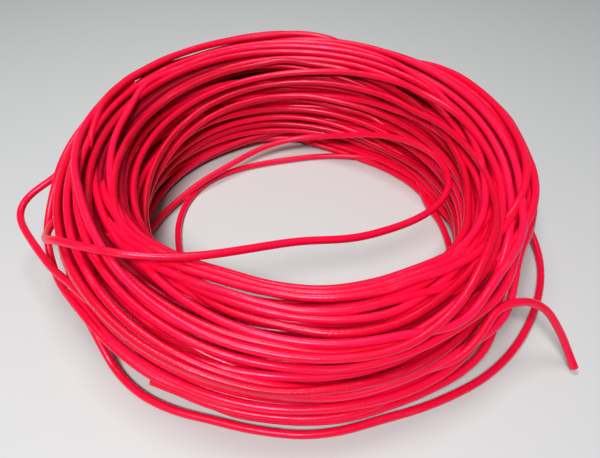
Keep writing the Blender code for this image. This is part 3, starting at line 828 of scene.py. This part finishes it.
# ---------------------------------------------------------------- materials
class Nodes:
    """A short way to write a node tree."""

    def __init__(self, name):
        self.material = bpy.data.materials.new(name)
        self.material.use_nodes = True
        self.tree = self.material.node_tree
        self.shader = self.tree.nodes["Principled BSDF"]

    def put(self, node, key, value):
        """Link or set the input with this name or number."""
        socket = node.inputs[key]
        if isinstance(value, bpy.types.NodeSocket):
            self.tree.links.new(value, socket)
        else:
            socket.default_value = value

    def finish(self, **inputs):
        """Feed the shader: base_color goes to Base Color, and so on."""
        for key, value in inputs.items():
            self.put(self.shader, key.replace("_", " ").title(), value)
        return self.material

    def attribute(self, name, out="Fac"):
        node = self.tree.nodes.new("ShaderNodeAttribute")
        node.attribute_name = name
        return node.outputs[out]

    def object_place(self):
        return self.tree.nodes.new("ShaderNodeTexCoord").outputs["Object"]

    def math(self, operation, first, second=0.0, clamp=False):
        node = self.tree.nodes.new("ShaderNodeMath")
        node.operation = operation
        node.use_clamp = clamp
        self.put(node, 0, first)
        self.put(node, 1, second)
        return node.outputs[0]

    def scaled(self, vector, by):
        node = self.tree.nodes.new("ShaderNodeVectorMath")
        node.operation = "MULTIPLY"
        self.put(node, 0, vector)
        self.put(node, 1, by)
        return node.outputs[0]

    def noise(self, vector, scale=1.0, detail=3.0, rough=0.55):
        node = self.tree.nodes.new("ShaderNodeTexNoise")
        self.put(node, "Vector", vector)
        self.put(node, "Scale", scale)
        self.put(node, "Detail", detail)
        self.put(node, "Roughness", rough)
        return node.outputs["Fac"]

    def cell_distance(self, vector, scale):
        node = self.tree.nodes.new("ShaderNodeTexVoronoi")
        self.put(node, "Scale", scale)
        self.put(node, "Vector", vector)
        return node.outputs["Distance"]

    def ramp(self, factor, stops):
        node = self.tree.nodes.new("ShaderNodeValToRGB")
        elements = node.color_ramp.elements
        while len(elements) < len(stops):
            elements.new(0.5)
        for element, (position, colour) in zip(elements, stops):
            element.position = position
            element.color = (*colour, 1.0)
        self.put(node, "Fac", factor)
        return node.outputs["Color"]

    def step(self, factor, low, high, out=(0.0, 1.0)):
        node = self.tree.nodes.new("ShaderNodeMapRange")
        node.interpolation_type = "SMOOTHSTEP"
        for key, value in enumerate((factor, low, high, *out)):
            self.put(node, key, value)
        return node.outputs[0]

    def mix(self, factor, under, colour):
        node = self.tree.nodes.new("ShaderNodeMix")
        node.data_type = "RGBA"
        self.put(node, 0, factor)
        self.put(node, 6, under)
        self.put(node, 7, (*colour, 1.0))
        return node.outputs[2]

    def bump(self, height, distance, strength, normal=None):
        node = self.tree.nodes.new("ShaderNodeBump")
        self.put(node, "Strength", strength)
        self.put(node, "Distance", distance)
        self.put(node, "Height", height)
        if normal is not None:
            self.put(node, "Normal", normal)
        return node.outputs["Normal"]


MAIN_RED = (0.84, 0.0018, 0.0370)
DEEP_RED = (0.55, 0.0010, 0.0165)
LIGHT_RED = (0.92, 0.0065, 0.0630)
SCUFF = (0.76, 0.046, 0.125)
GRIME = (0.36, 0.014, 0.040)
SPECK = (0.10, 0.012, 0.016)
JACKET_ROUGHNESS = (0.21, 0.34)
LAY_LENGTH = 0.0034     # spacing (m) of the strand marks along the jacket
LAY_STARTS = 3.0        # strand marks met on the way round


def jacket_material(name, shade=1.0):
    """Extruded red PVC: satin, with drawn-out streaks, dull scuffs, dust, and the lay of the
    strands just showing."""
    # painted shade: a shade factor below 1 darkens every red of the jacket
    def shaded(colour):
        return tuple(channel * shade for channel in colour)

    m = Nodes(name)
    tone_and_shade = m.attribute("tone_and_shade")
    place = m.attribute("around", "Vector")
    # patterns drawn out along the wire
    drawn = m.scaled(place, (14.0, 260.0, 260.0))
    streak = m.scaled(place, (55.0, 900.0, 900.0))
    fine = m.scaled(place, (900.0, 1500.0, 1500.0))
    # each turn a little lighter or deeper, with slow changes along it; on the gap turns the tone
    # attribute also holds painted shade, deeper on the outer side
    slow = m.noise(drawn, detail=3.0, rough=0.6)
    depth = m.math("ADD", m.math("MULTIPLY", slow, 0.50), m.math("MULTIPLY", tone_and_shade, 0.55))
    colour = m.ramp(depth, [(0.20, shaded(DEEP_RED)), (0.52, shaded(MAIN_RED)),
                            (0.88, shaded(LIGHT_RED))])
    # scuffs: patches where the skin is rubbed dull and a little pink
    patch = m.noise(m.scaled(place, (22.0, 130.0, 130.0)), detail=2.0)
    patch = m.step(patch, low=0.50, high=0.70)
    rub = m.step(m.noise(streak, detail=5.0, rough=0.65), low=0.48, high=0.68)
    rub = m.math("MULTIPLY", m.math("MULTIPLY", rub, patch), 0.55)
    colour = m.mix(rub, colour, shaded(SCUFF))
    # grime: grey smears and fine dark specks
    smear = m.noise(m.scaled(place, (40.0, 420.0, 420.0)), scale=1.3, detail=4.0, rough=0.7)
    smear = m.math("MULTIPLY", m.step(smear, low=0.56, high=0.74), 0.34)
    colour = m.mix(smear, colour, shaded(GRIME))
    dots = m.step(m.cell_distance(place, scale=260.0), low=0.09, high=0.05)
    dots = m.math("MULTIPLY", dots,
                  m.step(m.noise(place, scale=90.0, detail=2.0), low=0.52, high=0.62))
    colour = m.mix(m.math("MULTIPLY", dots, 0.6), colour, SPECK)
    # rougher where it is rubbed or dirty
    rough = m.step(m.noise(streak, scale=0.7, detail=4.0), low=0.25, high=0.8,
                   out=JACKET_ROUGHNESS)
    rough = m.math("ADD", rough, m.math("MULTIPLY", rub, 0.45))
    rough = m.math("ADD", rough, m.math("MULTIPLY", smear, 0.25), clamp=True)
    # relief: the strand lay under the jacket, drawing lines along the wire, orange-peel
    split = m.tree.nodes.new("ShaderNodeSeparateXYZ")
    m.put(split, 0, m.attribute("around", "Vector"))
    turn = m.math("ARCTAN2", split.outputs[2], split.outputs[1])
    twist = m.math("ADD", m.math("MULTIPLY", split.outputs[0], 2 * math.pi / LAY_LENGTH),
                   m.math("MULTIPLY", turn, LAY_STARTS))
    lay = m.math("MULTIPLY", m.math("SINE", twist), m.step(slow, low=0.42, high=0.62))
    normal = m.bump(lay, distance=0.000022, strength=0.8)
    lines = m.noise(streak, scale=1.6, detail=3.0)
    normal = m.bump(lines, distance=0.00012, strength=0.6, normal=normal)
    peel = m.noise(fine, detail=2.0)
    normal = m.bump(peel, distance=0.00003, strength=0.5, normal=normal)
    return m.finish(base_color=colour, roughness=rough, specular_tint=(1.0, 0.50, 0.76, 1.0),
                    normal=normal)


def cut_face_material(name):
    """Freshly sheared PVC: paler, matt, with the drag lines of the cutter."""
    m = Nodes(name)
    drag = m.noise(m.scaled(m.object_place(), (500.0, 500.0, 6000.0)), detail=4.0)
    return m.finish(
        base_color=m.ramp(drag, [(0.25, (0.55, 0.05, 0.07)), (0.6, (0.74, 0.16, 0.19)),
                                 (0.9, (0.82, 0.30, 0.32))]),
        roughness=m.step(drag, low=0.2, high=0.8, out=(0.5, 0.8)),
        normal=m.bump(drag, distance=0.0001, strength=0.6))


def copper_material(name):
    """Bare fine-strand copper, a little dulled."""
    m = Nodes(name)
    grain = m.noise(m.scaled(m.object_place(), (900.0, 900.0, 900.0)), detail=4.0)
    return m.finish(
        base_color=m.ramp(grain, [(0.2, (0.42, 0.16, 0.08)), (0.55, (0.80, 0.38, 0.20)),
                                  (0.85, (0.92, 0.52, 0.32))]),
        metallic=1.0,
        roughness=m.step(grain, low=0.2, high=0.8, out=(0.22, 0.45)),
        normal=m.bump(grain, distance=0.00003, strength=0.6))


JACKET = jacket_material("jacket_red_pvc")
# painted shade: darker copies of the jacket for the packed rings under the surface, deep for the
# top, outer and foot rings, slight for the inner rings
PACKED = jacket_material("jacket_red_pvc_packed_painted_shade", shade=0.38)
PACKED_INNER = jacket_material("jacket_red_pvc_inner_packed_painted_shade", shade=0.92)
CUT = cut_face_material("cut_pvc_face")
COPPER = copper_material("stranded_copper")


# ---------------------------------------------------------------- windings
def tones_along(count, seed):
    """How light or deep the red is: a slow drift, so that neighbouring turns differ."""
    rng = np.random.default_rng(seed)
    return np.clip(0.5 + smooth_noise(rng, count, span=90, size=0.36), 0.0, 1.0)


def winding_line(angle, centre, seed):
    points = spline(xyz(angle, drawn_in(angle, centre)), PER)
    return wander(points, size=0.22, span=11, seed=seed)


def draw_winding(points, tone_and_shade, turns, name, replaced):
    """One object per turn; the tucked ends go with the first and the last."""
    run = run_of(points)
    for k in range(turns):
        first = 0 if k == 0 else (TUCK_STEPS + k * STATIONS) * PER
        stop = len(points) if k == turns - 1 else (TUCK_STEPS + (k + 1) * STATIONS) * PER + 1
        tube = TubeMesh()
        tube.tube(part(run, first, stop), tone_and_shade=tone_and_shade[first:stop])
        attach(tube.build("%s_%02d" % (name, k + 1), JACKET), [replaced(k + 1)])


def draw_surface_turns(angle, place, lift):
    angle, place, lift = tucked(angle, place, lift)
    points = winding_line(angle, eased(angle, wire_at(angle, place, lift)[0]), seed=5)
    draw_winding(points, tones_along(len(points), seed=8), TURNS, "wire_turn",
                 lambda number: "turn_%02d" % number)


def draw_gap_turns(surface):
    angle, place, lift = tucked(*wind_gaps(surface))
    centre = eased(angle, wire_at(angle, place, lift)[0], passes=6, most=3.5)
    points = winding_line(angle, centre, seed=6)
    # deeper in colour on the outer side, where less light comes back to them
    drawn_place = np.interp(np.arange(len(points)) / PER, np.arange(len(place)), place)
    tone_and_shade = 0.92 - 0.47 * np.clip((drawn_place - 0.35) / 0.3, 0, 1)
    draw_winding(points, tone_and_shade * tones_along(len(points), seed=9), GAP_TURNS, "wire_gap_turn",
                 lambda number: "bundle_core")


# ---------------------------------------------------------------- packed rings
RING_ANGLES = np.linspace(0, 2 * np.pi, 97)[:-1]


def draw_packed(name, rings, seed, material=PACKED):
    """Closed rings of wire side by side; each ring is its (radius, height) at RING_ANGLES."""
    tube = TubeMesh()
    rng = np.random.default_rng(seed)
    for centre in rings:
        points = xyz(RING_ANGLES, drawn_in(RING_ANGLES, centre))
        points = np.concatenate([points, points[:1]])
        tube.tube(run_of(points, float(rng.uniform(0, 9000))), radius=PACKED_R,
                  sides=PACKED_SIDES, capped=False)
    obj = tube.build(name, material)
    # weld each ring's last section to its first where they meet
    bm = bmesh.new()
    bm.from_mesh(obj.data)
    bmesh.ops.remove_doubles(bm, verts=bm.verts, dist=0.00002)
    bm.to_mesh(obj.data)
    bm.free()
    attach(obj, ["bundle_core"])


def under_rings(first, last, count, seed):
    """Rings under the surface, spread between two places of the section and swirling a little."""
    phase = np.random.default_rng(seed).uniform(0, 2 * np.pi, 3)
    swirl = (0.016 * np.sin(RING_ANGLES + phase[0]) + 0.012 * np.sin(2 * RING_ANGLES + phase[1])
             + 0.008 * np.sin(3 * RING_ANGLES + phase[2]))
    rings = []
    for place in np.linspace(first, last, count):
        swirled = np.clip(place + swirl * 4 * place * (1 - place), 0, 1)
        rings.append(wire_at(RING_ANGLES, swirled, PACKED_LIFT)[0])
    return rings


def foot_rings(inset=11.5):
    """Rings lying on the floor between the two walls."""
    height = np.full(len(RING_ANGLES), FLOOR)
    inner, outer = inner_r(RING_ANGLES) + inset, outer_r(RING_ANGLES) - inset
    return [np.stack([inner * (1 - share) + outer * share, height], -1)
            for share in np.linspace(0.0, 1.0, 9)[1:-1]]


def draw_packed_turns():
    # painted shade: the inner rings take the slightly darkened jacket, the others the deeply
    # darkened one
    draw_packed("wire_packed_inner", under_rings(0.0, 0.34, 12, seed=31), 41, PACKED_INNER)
    draw_packed("wire_packed_top", under_rings(0.37, 0.62, 9, seed=32), 42)
    draw_packed("wire_packed_outer", under_rings(0.65, 1.0, 12, seed=33), 43)
    draw_packed("wire_packed_foot", foot_rings(), 44)


# ---------------------------------------------------------------- riders
# Single strands that round out the section where the bundle is squarer than the winding's own
# outline. Each comes up out of the others and goes back in.

# Inner rim at the front: angle (degrees), radius
RIM = [(206, 141.0), (216, 138.0), (226, 133.0), (236, 127.0), (248, 122.8), (258, 124.2),
       (270, 127.6), (282, 130.5), (300, 133.0), (309, 138.0), (318, 143.0), (326, 146.0)]
# Riders on that rim: distance out from it, height, swing, first and last angle
RIM_RIDERS = [(2.8, 75.5, 0.6, 212, 330), (8.2, 78.6, 1.3, 206, 308), (14.0, 80.2, 1.6, 222, 326),
              (4.2, 69.6, 0.8, 214, 320), (20.5, 80.0, 2.4, 232, 292)]
# Riders on the top of the back left: radius, height, first and last angle
BACK_RIDERS = [(184.5, 99.5, 94, 156), (179.5, 103.4, 98, 152), (173.8, 105.8, 92, 160)]
# Riders at the foot of the inner wall, right back, stacked up: radius, height, first and last angle
FOOT_RIDERS = [(126.5, FLOOR, 20, 68), (128.0, FLOOR + WIRE_D, 14, 72),
               (129.5, FLOOR + 2 * WIRE_D, 18, 62)]
# Riders drawn through stations (columns as in LOOPS), each with its seed
RIDERS = {
    # foot of the inner wall at the right back
    "wire_foot_rider_4": (84, [
        (2, 138, 9), (9, 131.5, 6), (17, 127.5, 4), (25, 125.6, FLOOR), (33, 123.6, FLOOR),
        (42, 121.6, FLOOR), (51, 119.8, FLOOR), (60, 118.6, FLOOR), (68, 119, FLOOR),
        (76, 120.5, 4), (84, 124, 6), (92, 130, 9)]),
    "wire_foot_rider_5": (85, [
        (10, 140, 12), (18, 133, 9.5), (27, 129.2, 8.5), (38, 126, 8.4), (50, 122.8, 8.4),
        (61, 121.8, 8.4), (72, 123, 8.6), (82, 127, 10), (92, 134, 13)]),
    # outer top at the right, and one that lies inside it
    "wire_right_rider_1": (93, [
        (322, 168, 74), (331, 174, 80), (339, 177.6, 86), (345, 178.6, 88), (352, 178.4, 89),
        (1, 178.6, 89), (11, 180.8, 89), (18, 183.2, 89), (25, 184.8, 89), (31, 185.8, 89.4),
        (38, 186.2, 89.4), (45, 185.4, 88.5), (52, 182, 85), (60, 176, 79), (68, 169, 73)]),
    "wire_right_rider_2": (94, [
        (334, 162, 80), (342, 169, 88), (350, 172.3, 93), (359, 173, 94.6), (9, 173.6, 95.4),
        (19, 175.4, 96), (29, 176.6, 96.8), (39, 177.6, 97.2), (49, 176, 95.4), (58, 170, 90),
        (67, 162, 83)]),
    # along the foot of the outer side at the front, climbing at the right
    "wire_foot_strand": (92, [
        (236, 176, 13), (243, 182, 10), (250, 185.5, 9), (258, 186.8, 8.6), (266, 187.2, 8.6),
        (274, 187.4, 8.6), (282, 187, 8.8), (289, 186.2, 9.2), (296, 187, 10), (303, 189, 11),
        (309, 190.4, 13), (314, 189.6, 17), (318.5, 186.6, 23), (322.5, 182.5, 30),
        (327, 178.5, 37), (333, 175, 44), (340, 171, 50), (347, 165, 54)]),
    # stands off the outer left side, between the bow loop and the bundle
    "wire_left_rider": (91, [
        (150, 176, 97), (160, 184, 93), (170, 190, 87), (177, 195, 80), (181.5, 198.5, 73),
        (186.3, 202, 62), (190.4, 206.8, 50), (194.2, 209, 42), (199.6, 207.6, 35),
        (208.4, 202.9, 35), (215, 199, 38), (220.6, 196.8, 39), (226, 195.5, 36), (232, 194, 31),
        (238, 192, 27), (247, 189, 22), (257, 186, 19), (268, 182, 17)]),
}


def draw_strand(name, run, replaced, bodies=("coil",), bend=None):
    tube = TubeMesh()
    tube.tube(run, sides=STRAND_SIDES)
    attach(tube.build(name, JACKET), replaced, bodies, bend)


def draw_rider(name, rows, seed, start=0.0):
    points = wander(smooth_line(path_of(rows)), size=0.35, span=9, seed=seed)
    draw_strand(name, run_of(points, start), ["bundle_core"])


def dived(degrees, radius, height, dives):
    """Rows with both ends run on into the bundle. Each dive, nearest first, is (degrees past the
    end, change of radius, change of height at the start, and at the end)."""
    before = [(degrees[0] - on, radius[0] + out, height[0] + start)
              for on, out, start, _ in dives[::-1]]
    after = [(degrees[-1] + on, radius[-1] + out, height[-1] + end)
             for on, out, _, end in dives]
    return before + list(zip(degrees, radius, height)) + after


def draw_rim_rider(number):
    out, z, swing, first, last = RIM_RIDERS[number - 1]
    seed = 60 + number
    phase_r, phase_z = np.random.default_rng(seed).uniform(0, 2 * np.pi, 2)
    degrees = np.linspace(first, last, 10)
    rim_degrees, rim_radius = np.array(RIM).T
    radius = (np.interp(degrees, rim_degrees, rim_radius) + out
              + swing * np.sin(np.radians(degrees) * 3 + phase_r))
    height = (z + 0.5 * swing * np.sin(np.radians(degrees) * 4 + phase_z)
              + 5.0 * np.clip((240 - degrees) / 40, 0, 1)
              + 5.0 * np.clip((degrees - 290) / 40, 0, 1))
    rows = dived(degrees, radius, height, [(14, 6, -3, -3), (30, 16, -11, -11)])
    draw_rider("wire_rim_rider_%d" % number, rows, seed, 37.0 * seed)


def draw_back_rider(number):
    middle, z, first, last = BACK_RIDERS[number - 1]
    seed = 70 + number
    phase_r, phase_z = np.random.default_rng(seed).uniform(0, 2 * np.pi, 2)
    degrees = np.linspace(first, last, 7)
    radius = (middle + 2.0 * np.clip((degrees - 110) / 40, 0, 1)
              + 0.9 * np.sin(np.radians(degrees) * 4 + phase_r))
    height = (z + 0.6 * np.sin(np.radians(degrees) * 5 + phase_z)
              - 3.0 * np.clip((degrees - 130) / 30, 0, 1))
    rows = dived(degrees, radius, height, [(10, -2, -3, -4), (20, -6, -11, -12)])
    draw_rider("wire_back_rider_%d" % number, rows, seed, 53.0 * seed)


def draw_foot_rider(number):
    middle, z, first, last = FOOT_RIDERS[number - 1]
    seed = 80 + number
    degrees = np.linspace(first, last, 6)
    radius = (middle - 5.0 * np.clip((degrees - 45) / 25, 0, 1)
              + 0.8 * np.sin(np.radians(degrees) * 5 + seed))
    rows = [(first - 20, radius[0] + 11, z + 3), (first - 10, radius[0] + 4, z + 1)]
    rows += [(at, r, z) for at, r in zip(degrees, radius)]
    rows += [(last + 10, radius[-1] + 5, z + 1), (last + 20, radius[-1] + 14, z + 3)]
    draw_rider("wire_foot_rider_%d" % number, rows, seed, 11.0 * seed)


def draw_station_riders(*names):
    for name in names:
        seed, rows = RIDERS[name]
        draw_rider(name, rows, seed)


def draw_riders():
    for number in (1, 2, 3, 4, 5):
        draw_rim_rider(number)
    for number in (1, 2, 3):
        draw_back_rider(number)
    draw_foot_rider(1)
    draw_station_riders("wire_foot_rider_4", "wire_foot_rider_5")
    draw_foot_rider(2)
    draw_foot_rider(3)
    draw_station_riders("wire_right_rider_1", "wire_right_rider_2", "wire_foot_strand",
                        "wire_left_rider")


# ---------------------------------------------------------------- slack lengths
LOOP_BEND = 14          # length of the span at each end of a loop where it would bend (mm)


def draw_floor_strand(name, pieces, start):
    """A fixed length on the floor inside the ring."""
    points = joined(path_of(BEFORE[name]), pieces[name], path_of(AFTER[name]))
    draw_strand("wire_" + name, run_of(smooth_line(points), start), [name])


def draw_slack_span(pieces):
    """The slack inner turn, which runs on as the span across the opening and down the outer side."""
    inner, span = pieces["slack_turn_inner"], pieces["slack_span"]
    points = smooth_line(joined(path_of(BEFORE["slack_turn_inner"]), inner, span,
                                pieces["slack_span_end"], path_of(AFTER["slack_span_end"])),
                         reach=11.0)
    run = run_of(points)
    join = nearest(points, (inner[-1] + span[0]) / 2)
    start = nearest(points, span[0])
    middle = nearest(points, span[len(span) // 2])
    hinge = nearest(points, span_hinge(pieces))
    bodies = ("coil", "slack_span_body")
    draw_strand("wire_slack_turn_inner", part(run, 0, join + 1), ["slack_turn_inner"])
    draw_strand("wire_slack_span_a", part(run, join, middle + 1), ["slack_span"], bodies,
                (points[start], point_along(points, start, 18)))
    draw_strand("wire_slack_span_b", part(run, middle, None), ["slack_span", "slack_span_end"],
                bodies, (point_along(points, hinge, 3), point_along(points, hinge, -16)))


def span_hinge(pieces):
    return pieces["slack_span_hinge"]


def draw_loop(name, run, laid, middle_station, first=0, stop=None):
    """A loop in two halves, split at its middle station; each is given the coil, the loop's own body
    and a span near its end for a bend that is not applied.
    """
    points = run.points
    start, end = nearest(points, laid[0]), nearest(points, laid[-1])
    middle = nearest(points, laid[middle_station])
    bodies = ("coil", name + "_body")
    draw_strand("wire_%s_a" % name, part(run, first, middle + 1), [name], bodies,
                (points[start], point_along(points, start, LOOP_BEND)))
    draw_strand("wire_%s_b" % name, part(run, middle, stop), [name], bodies,
                (points[end], point_along(points, end, -LOOP_BEND)))


def draw_bow_loop(pieces):
    bow = pieces["bow_loop"]
    points = smooth_line(joined(path_of(BEFORE["bow_loop"]), bow, path_of(AFTER["bow_loop"])))
    draw_loop("bow_loop", run_of(points), bow, middle_station=4)


def draw_sag_and_loose_turn(pieces):
    """The sagging loop, which lies down on the floor and runs on as the loose outer turn."""
    sag, loose = pieces["sag_loop"], pieces["loose_turn"]
    points = smooth_line(joined(path_of(BEFORE["sag_loop"]), sag, loose,
                                path_of(AFTER["loose_turn"])))
    run = run_of(points)
    join = (nearest(points, sag[-1]) + nearest(points, loose[0])) // 2
    draw_loop("sag_loop", run, sag, middle_station=3, stop=join + 1)
    draw_loop("loose_turn", run, loose, middle_station=7, first=join)


# ---------------------------------------------------------------- cut ends
FRONT_BEND = 9          # reach of the bend each side of the front end's hinge (mm)
TAIL_BEND = 8.0         # the same for the free end's hinges
COPPER_BACK = 1.1       # how far the copper is drawn back from a cut
CORE_R = 0.52           # middle group of copper strands
GROUP_R = 0.51          # the six groups laid round it
GROUP_OUT = 1.04        # their distance from the middle
ROPE_LAY = 32.0         # length in which they go once round
ROPE_STEP = 1.3         # spacing of the points along the copper


def bend_at(points, hinge, reach):
    return point_along(points, hinge, -reach), point_along(points, hinge, reach)


def draw_sleeve(name, run, replaced, bodies, bend, cut):
    tube = TubeMesh()
    tube.sleeve(run, cut)
    attach(tube.build(name, JACKET, CUT), replaced, bodies, bend)


def draw_rope(name, points, replaced, bodies, bend, back):
    """Seven groups of fine strands laid together, drawn back from the far end."""
    end = nearest(points, point_along(points, len(points) - 1, -back))
    core = even(spline(points[:end + 1], 2), ROPE_STEP)
    run = run_of(core)
    _, side, other = run.frames
    arc = np.arange(len(core)) * ROPE_STEP
    tube = TubeMesh()
    tube.tube(run, radius=CORE_R, sides=8)
    for k in range(6):
        turn = k * np.pi / 3 + arc * 2 * np.pi / ROPE_LAY
        group = core + GROUP_OUT * (np.cos(turn)[:, None] * side + np.sin(turn)[:, None] * other)
        tube.tube(run_of(group), radius=GROUP_R, sides=8)
    attach(tube.build(name, COPPER), replaced, bodies, bend)


def draw_front_end(pieces, hinges):
    """The short cut end low on the outer side at the front."""
    points = smooth_line(joined(path_of(BEFORE["front_end"]), pieces["front_end_run"],
                                pieces["front_cut_end"]), step=2.2, reach=4.0)
    hinge = nearest(points, hinges[0])
    bodies, bend = ("coil", "front_end"), bend_at(points, hinge, FRONT_BEND)
    draw_sleeve("wire_front_end", run_of(points, 50.0), ["front_end_run", "front_cut_end"],
                bodies, bend, cut=True)
    copper_from = nearest(points, point_along(points, hinge, -20))
    draw_rope("copper_front_end", points[copper_from:], ["front_end_conductor"], bodies, bend,
              COPPER_BACK)


def draw_tail(pieces, hinges):
    """The long free end, in three lengths that each take in one hinge."""
    points = smooth_line(joined(path_of(BEFORE["tail"]), pieces["tail_root"], pieces["tail_lead"],
                                pieces["tail_bend"], pieces["tail_tip"]), step=2.0, reach=4.0)
    run = run_of(points)
    at = [nearest(points, hinge) for hinge in hinges]
    ends = [0, (at[0] + at[1]) // 2, (at[1] + at[2]) // 2, len(points) - 1]
    # letter, bodies, jackets replaced, conductor replaced
    lengths_of_tail = [
        ("a", ("coil", "tail_1"), ["tail_root", "tail_lead"], ["tail_lead_conductor"]),
        ("b", ("tail_1", "tail_2"), ["tail_bend"], ["tail_bend_conductor"]),
        ("c", ("tail_2", "tail_3"), ["tail_tip"], ["tail_tip_conductor"]),
    ]
    for k, (letter, bodies, jackets, conductor) in enumerate(lengths_of_tail):
        cut = letter == "c"
        piece = part(run, ends[k], ends[k + 1] + 1)
        bend = bend_at(points, at[k], TAIL_BEND)
        draw_sleeve("wire_tail_" + letter, piece, jackets, bodies, bend, cut)
        draw_rope("copper_tail_" + letter, piece.points, conductor, bodies, bend,
                  COPPER_BACK if cut else 0.0)


# ---------------------------------------------------------------- floor, light, camera (metres)
def make_floor():
    mesh = bpy.data.meshes.new("floor")
    corners = [(-14, -12, 0), (14, -12, 0), (14, 16, 0), (-14, 16, 0)]
    mesh.from_pydata(corners, [], [(0, 1, 2, 3)])
    floor = bpy.data.objects.new("floor", mesh)
    bpy.context.scene.collection.objects.link(floor)
    pale = Nodes("floor_pale")
    mesh.materials.append(pale.finish(base_color=(0.56, 0.57, 0.57, 1), roughness=0.75))


def add_area_light(name, location, target, size, power):
    light = bpy.data.lights.new(name, "AREA")
    light.shape = "RECTANGLE"
    light.size, light.size_y = size
    light.energy = power
    obj = bpy.data.objects.new(name, light)
    obj.location = location
    obj.rotation_mode = "QUATERNION"
    obj.rotation_quaternion = (Vector(target) - Vector(location)).to_track_quat("-Z", "Y")
    bpy.context.scene.collection.objects.link(obj)


def set_world():
    world = bpy.data.worlds.new("studio")
    bpy.context.scene.world = world
    world.use_nodes = True
    background = world.node_tree.nodes["Background"]
    background.inputs["Color"].default_value = (0.93, 0.95, 1.0, 1)
    background.inputs["Strength"].default_value = 0.115
    bpy.context.scene.view_settings.view_transform = "Standard"


def add_camera():
    """Looks down on the hank from the front."""
    data = bpy.data.cameras.new("camera")
    data.sensor_width = 36.0
    data.lens = 31.797
    data.clip_start, data.clip_end = 0.01, 20.0
    camera = bpy.data.objects.new("camera", data)
    camera.location = (0.02077, -0.34155, 0.34300)
    camera.rotation_mode = "QUATERNION"
    right = Vector((0.99977259, 0.02024116, -0.00671288))
    up = Vector((-0.00951998, 0.70530423, 0.70884082))
    back = Vector((0.01908239, -0.70861572, 0.70533653))
    camera.rotation_quaternion = Matrix((right, up, back)).transposed().to_quaternion()
    bpy.context.scene.collection.objects.link(camera)
    bpy.context.scene.camera = camera


# ---------------------------------------------------------------- build
angle, place, lift = wind_surface()
surface = wire_at(angle, place, lift)[0]
draw_surface_turns(angle, place, lift)
draw_gap_turns(eased(angle, surface))
draw_packed_turns()
draw_riders()

pieces, hinges = lay_slack(xyz(angle, surface))
pieces["slack_span_hinge"] = hinges["slack_span"][0]
draw_floor_strand("floor_loop", pieces, start=300)
draw_floor_strand("inner_floor_strand", pieces, start=900)
draw_slack_span(pieces)
draw_bow_loop(pieces)
draw_sag_and_loose_turn(pieces)
draw_front_end(pieces, hinges["front_end"])
draw_tail(pieces, hinges["tail"])

make_floor()
add_area_light("key_light", location=(-0.20, -0.85, 1.20), target=(0, 0, 0.03),
               size=(0.55, 0.35), power=19.5)
add_area_light("top_light", location=(-0.15, 0.20, 1.40), target=(0, 0, 0.05),
               size=(0.60, 0.40), power=9)
set_world()
add_camera()
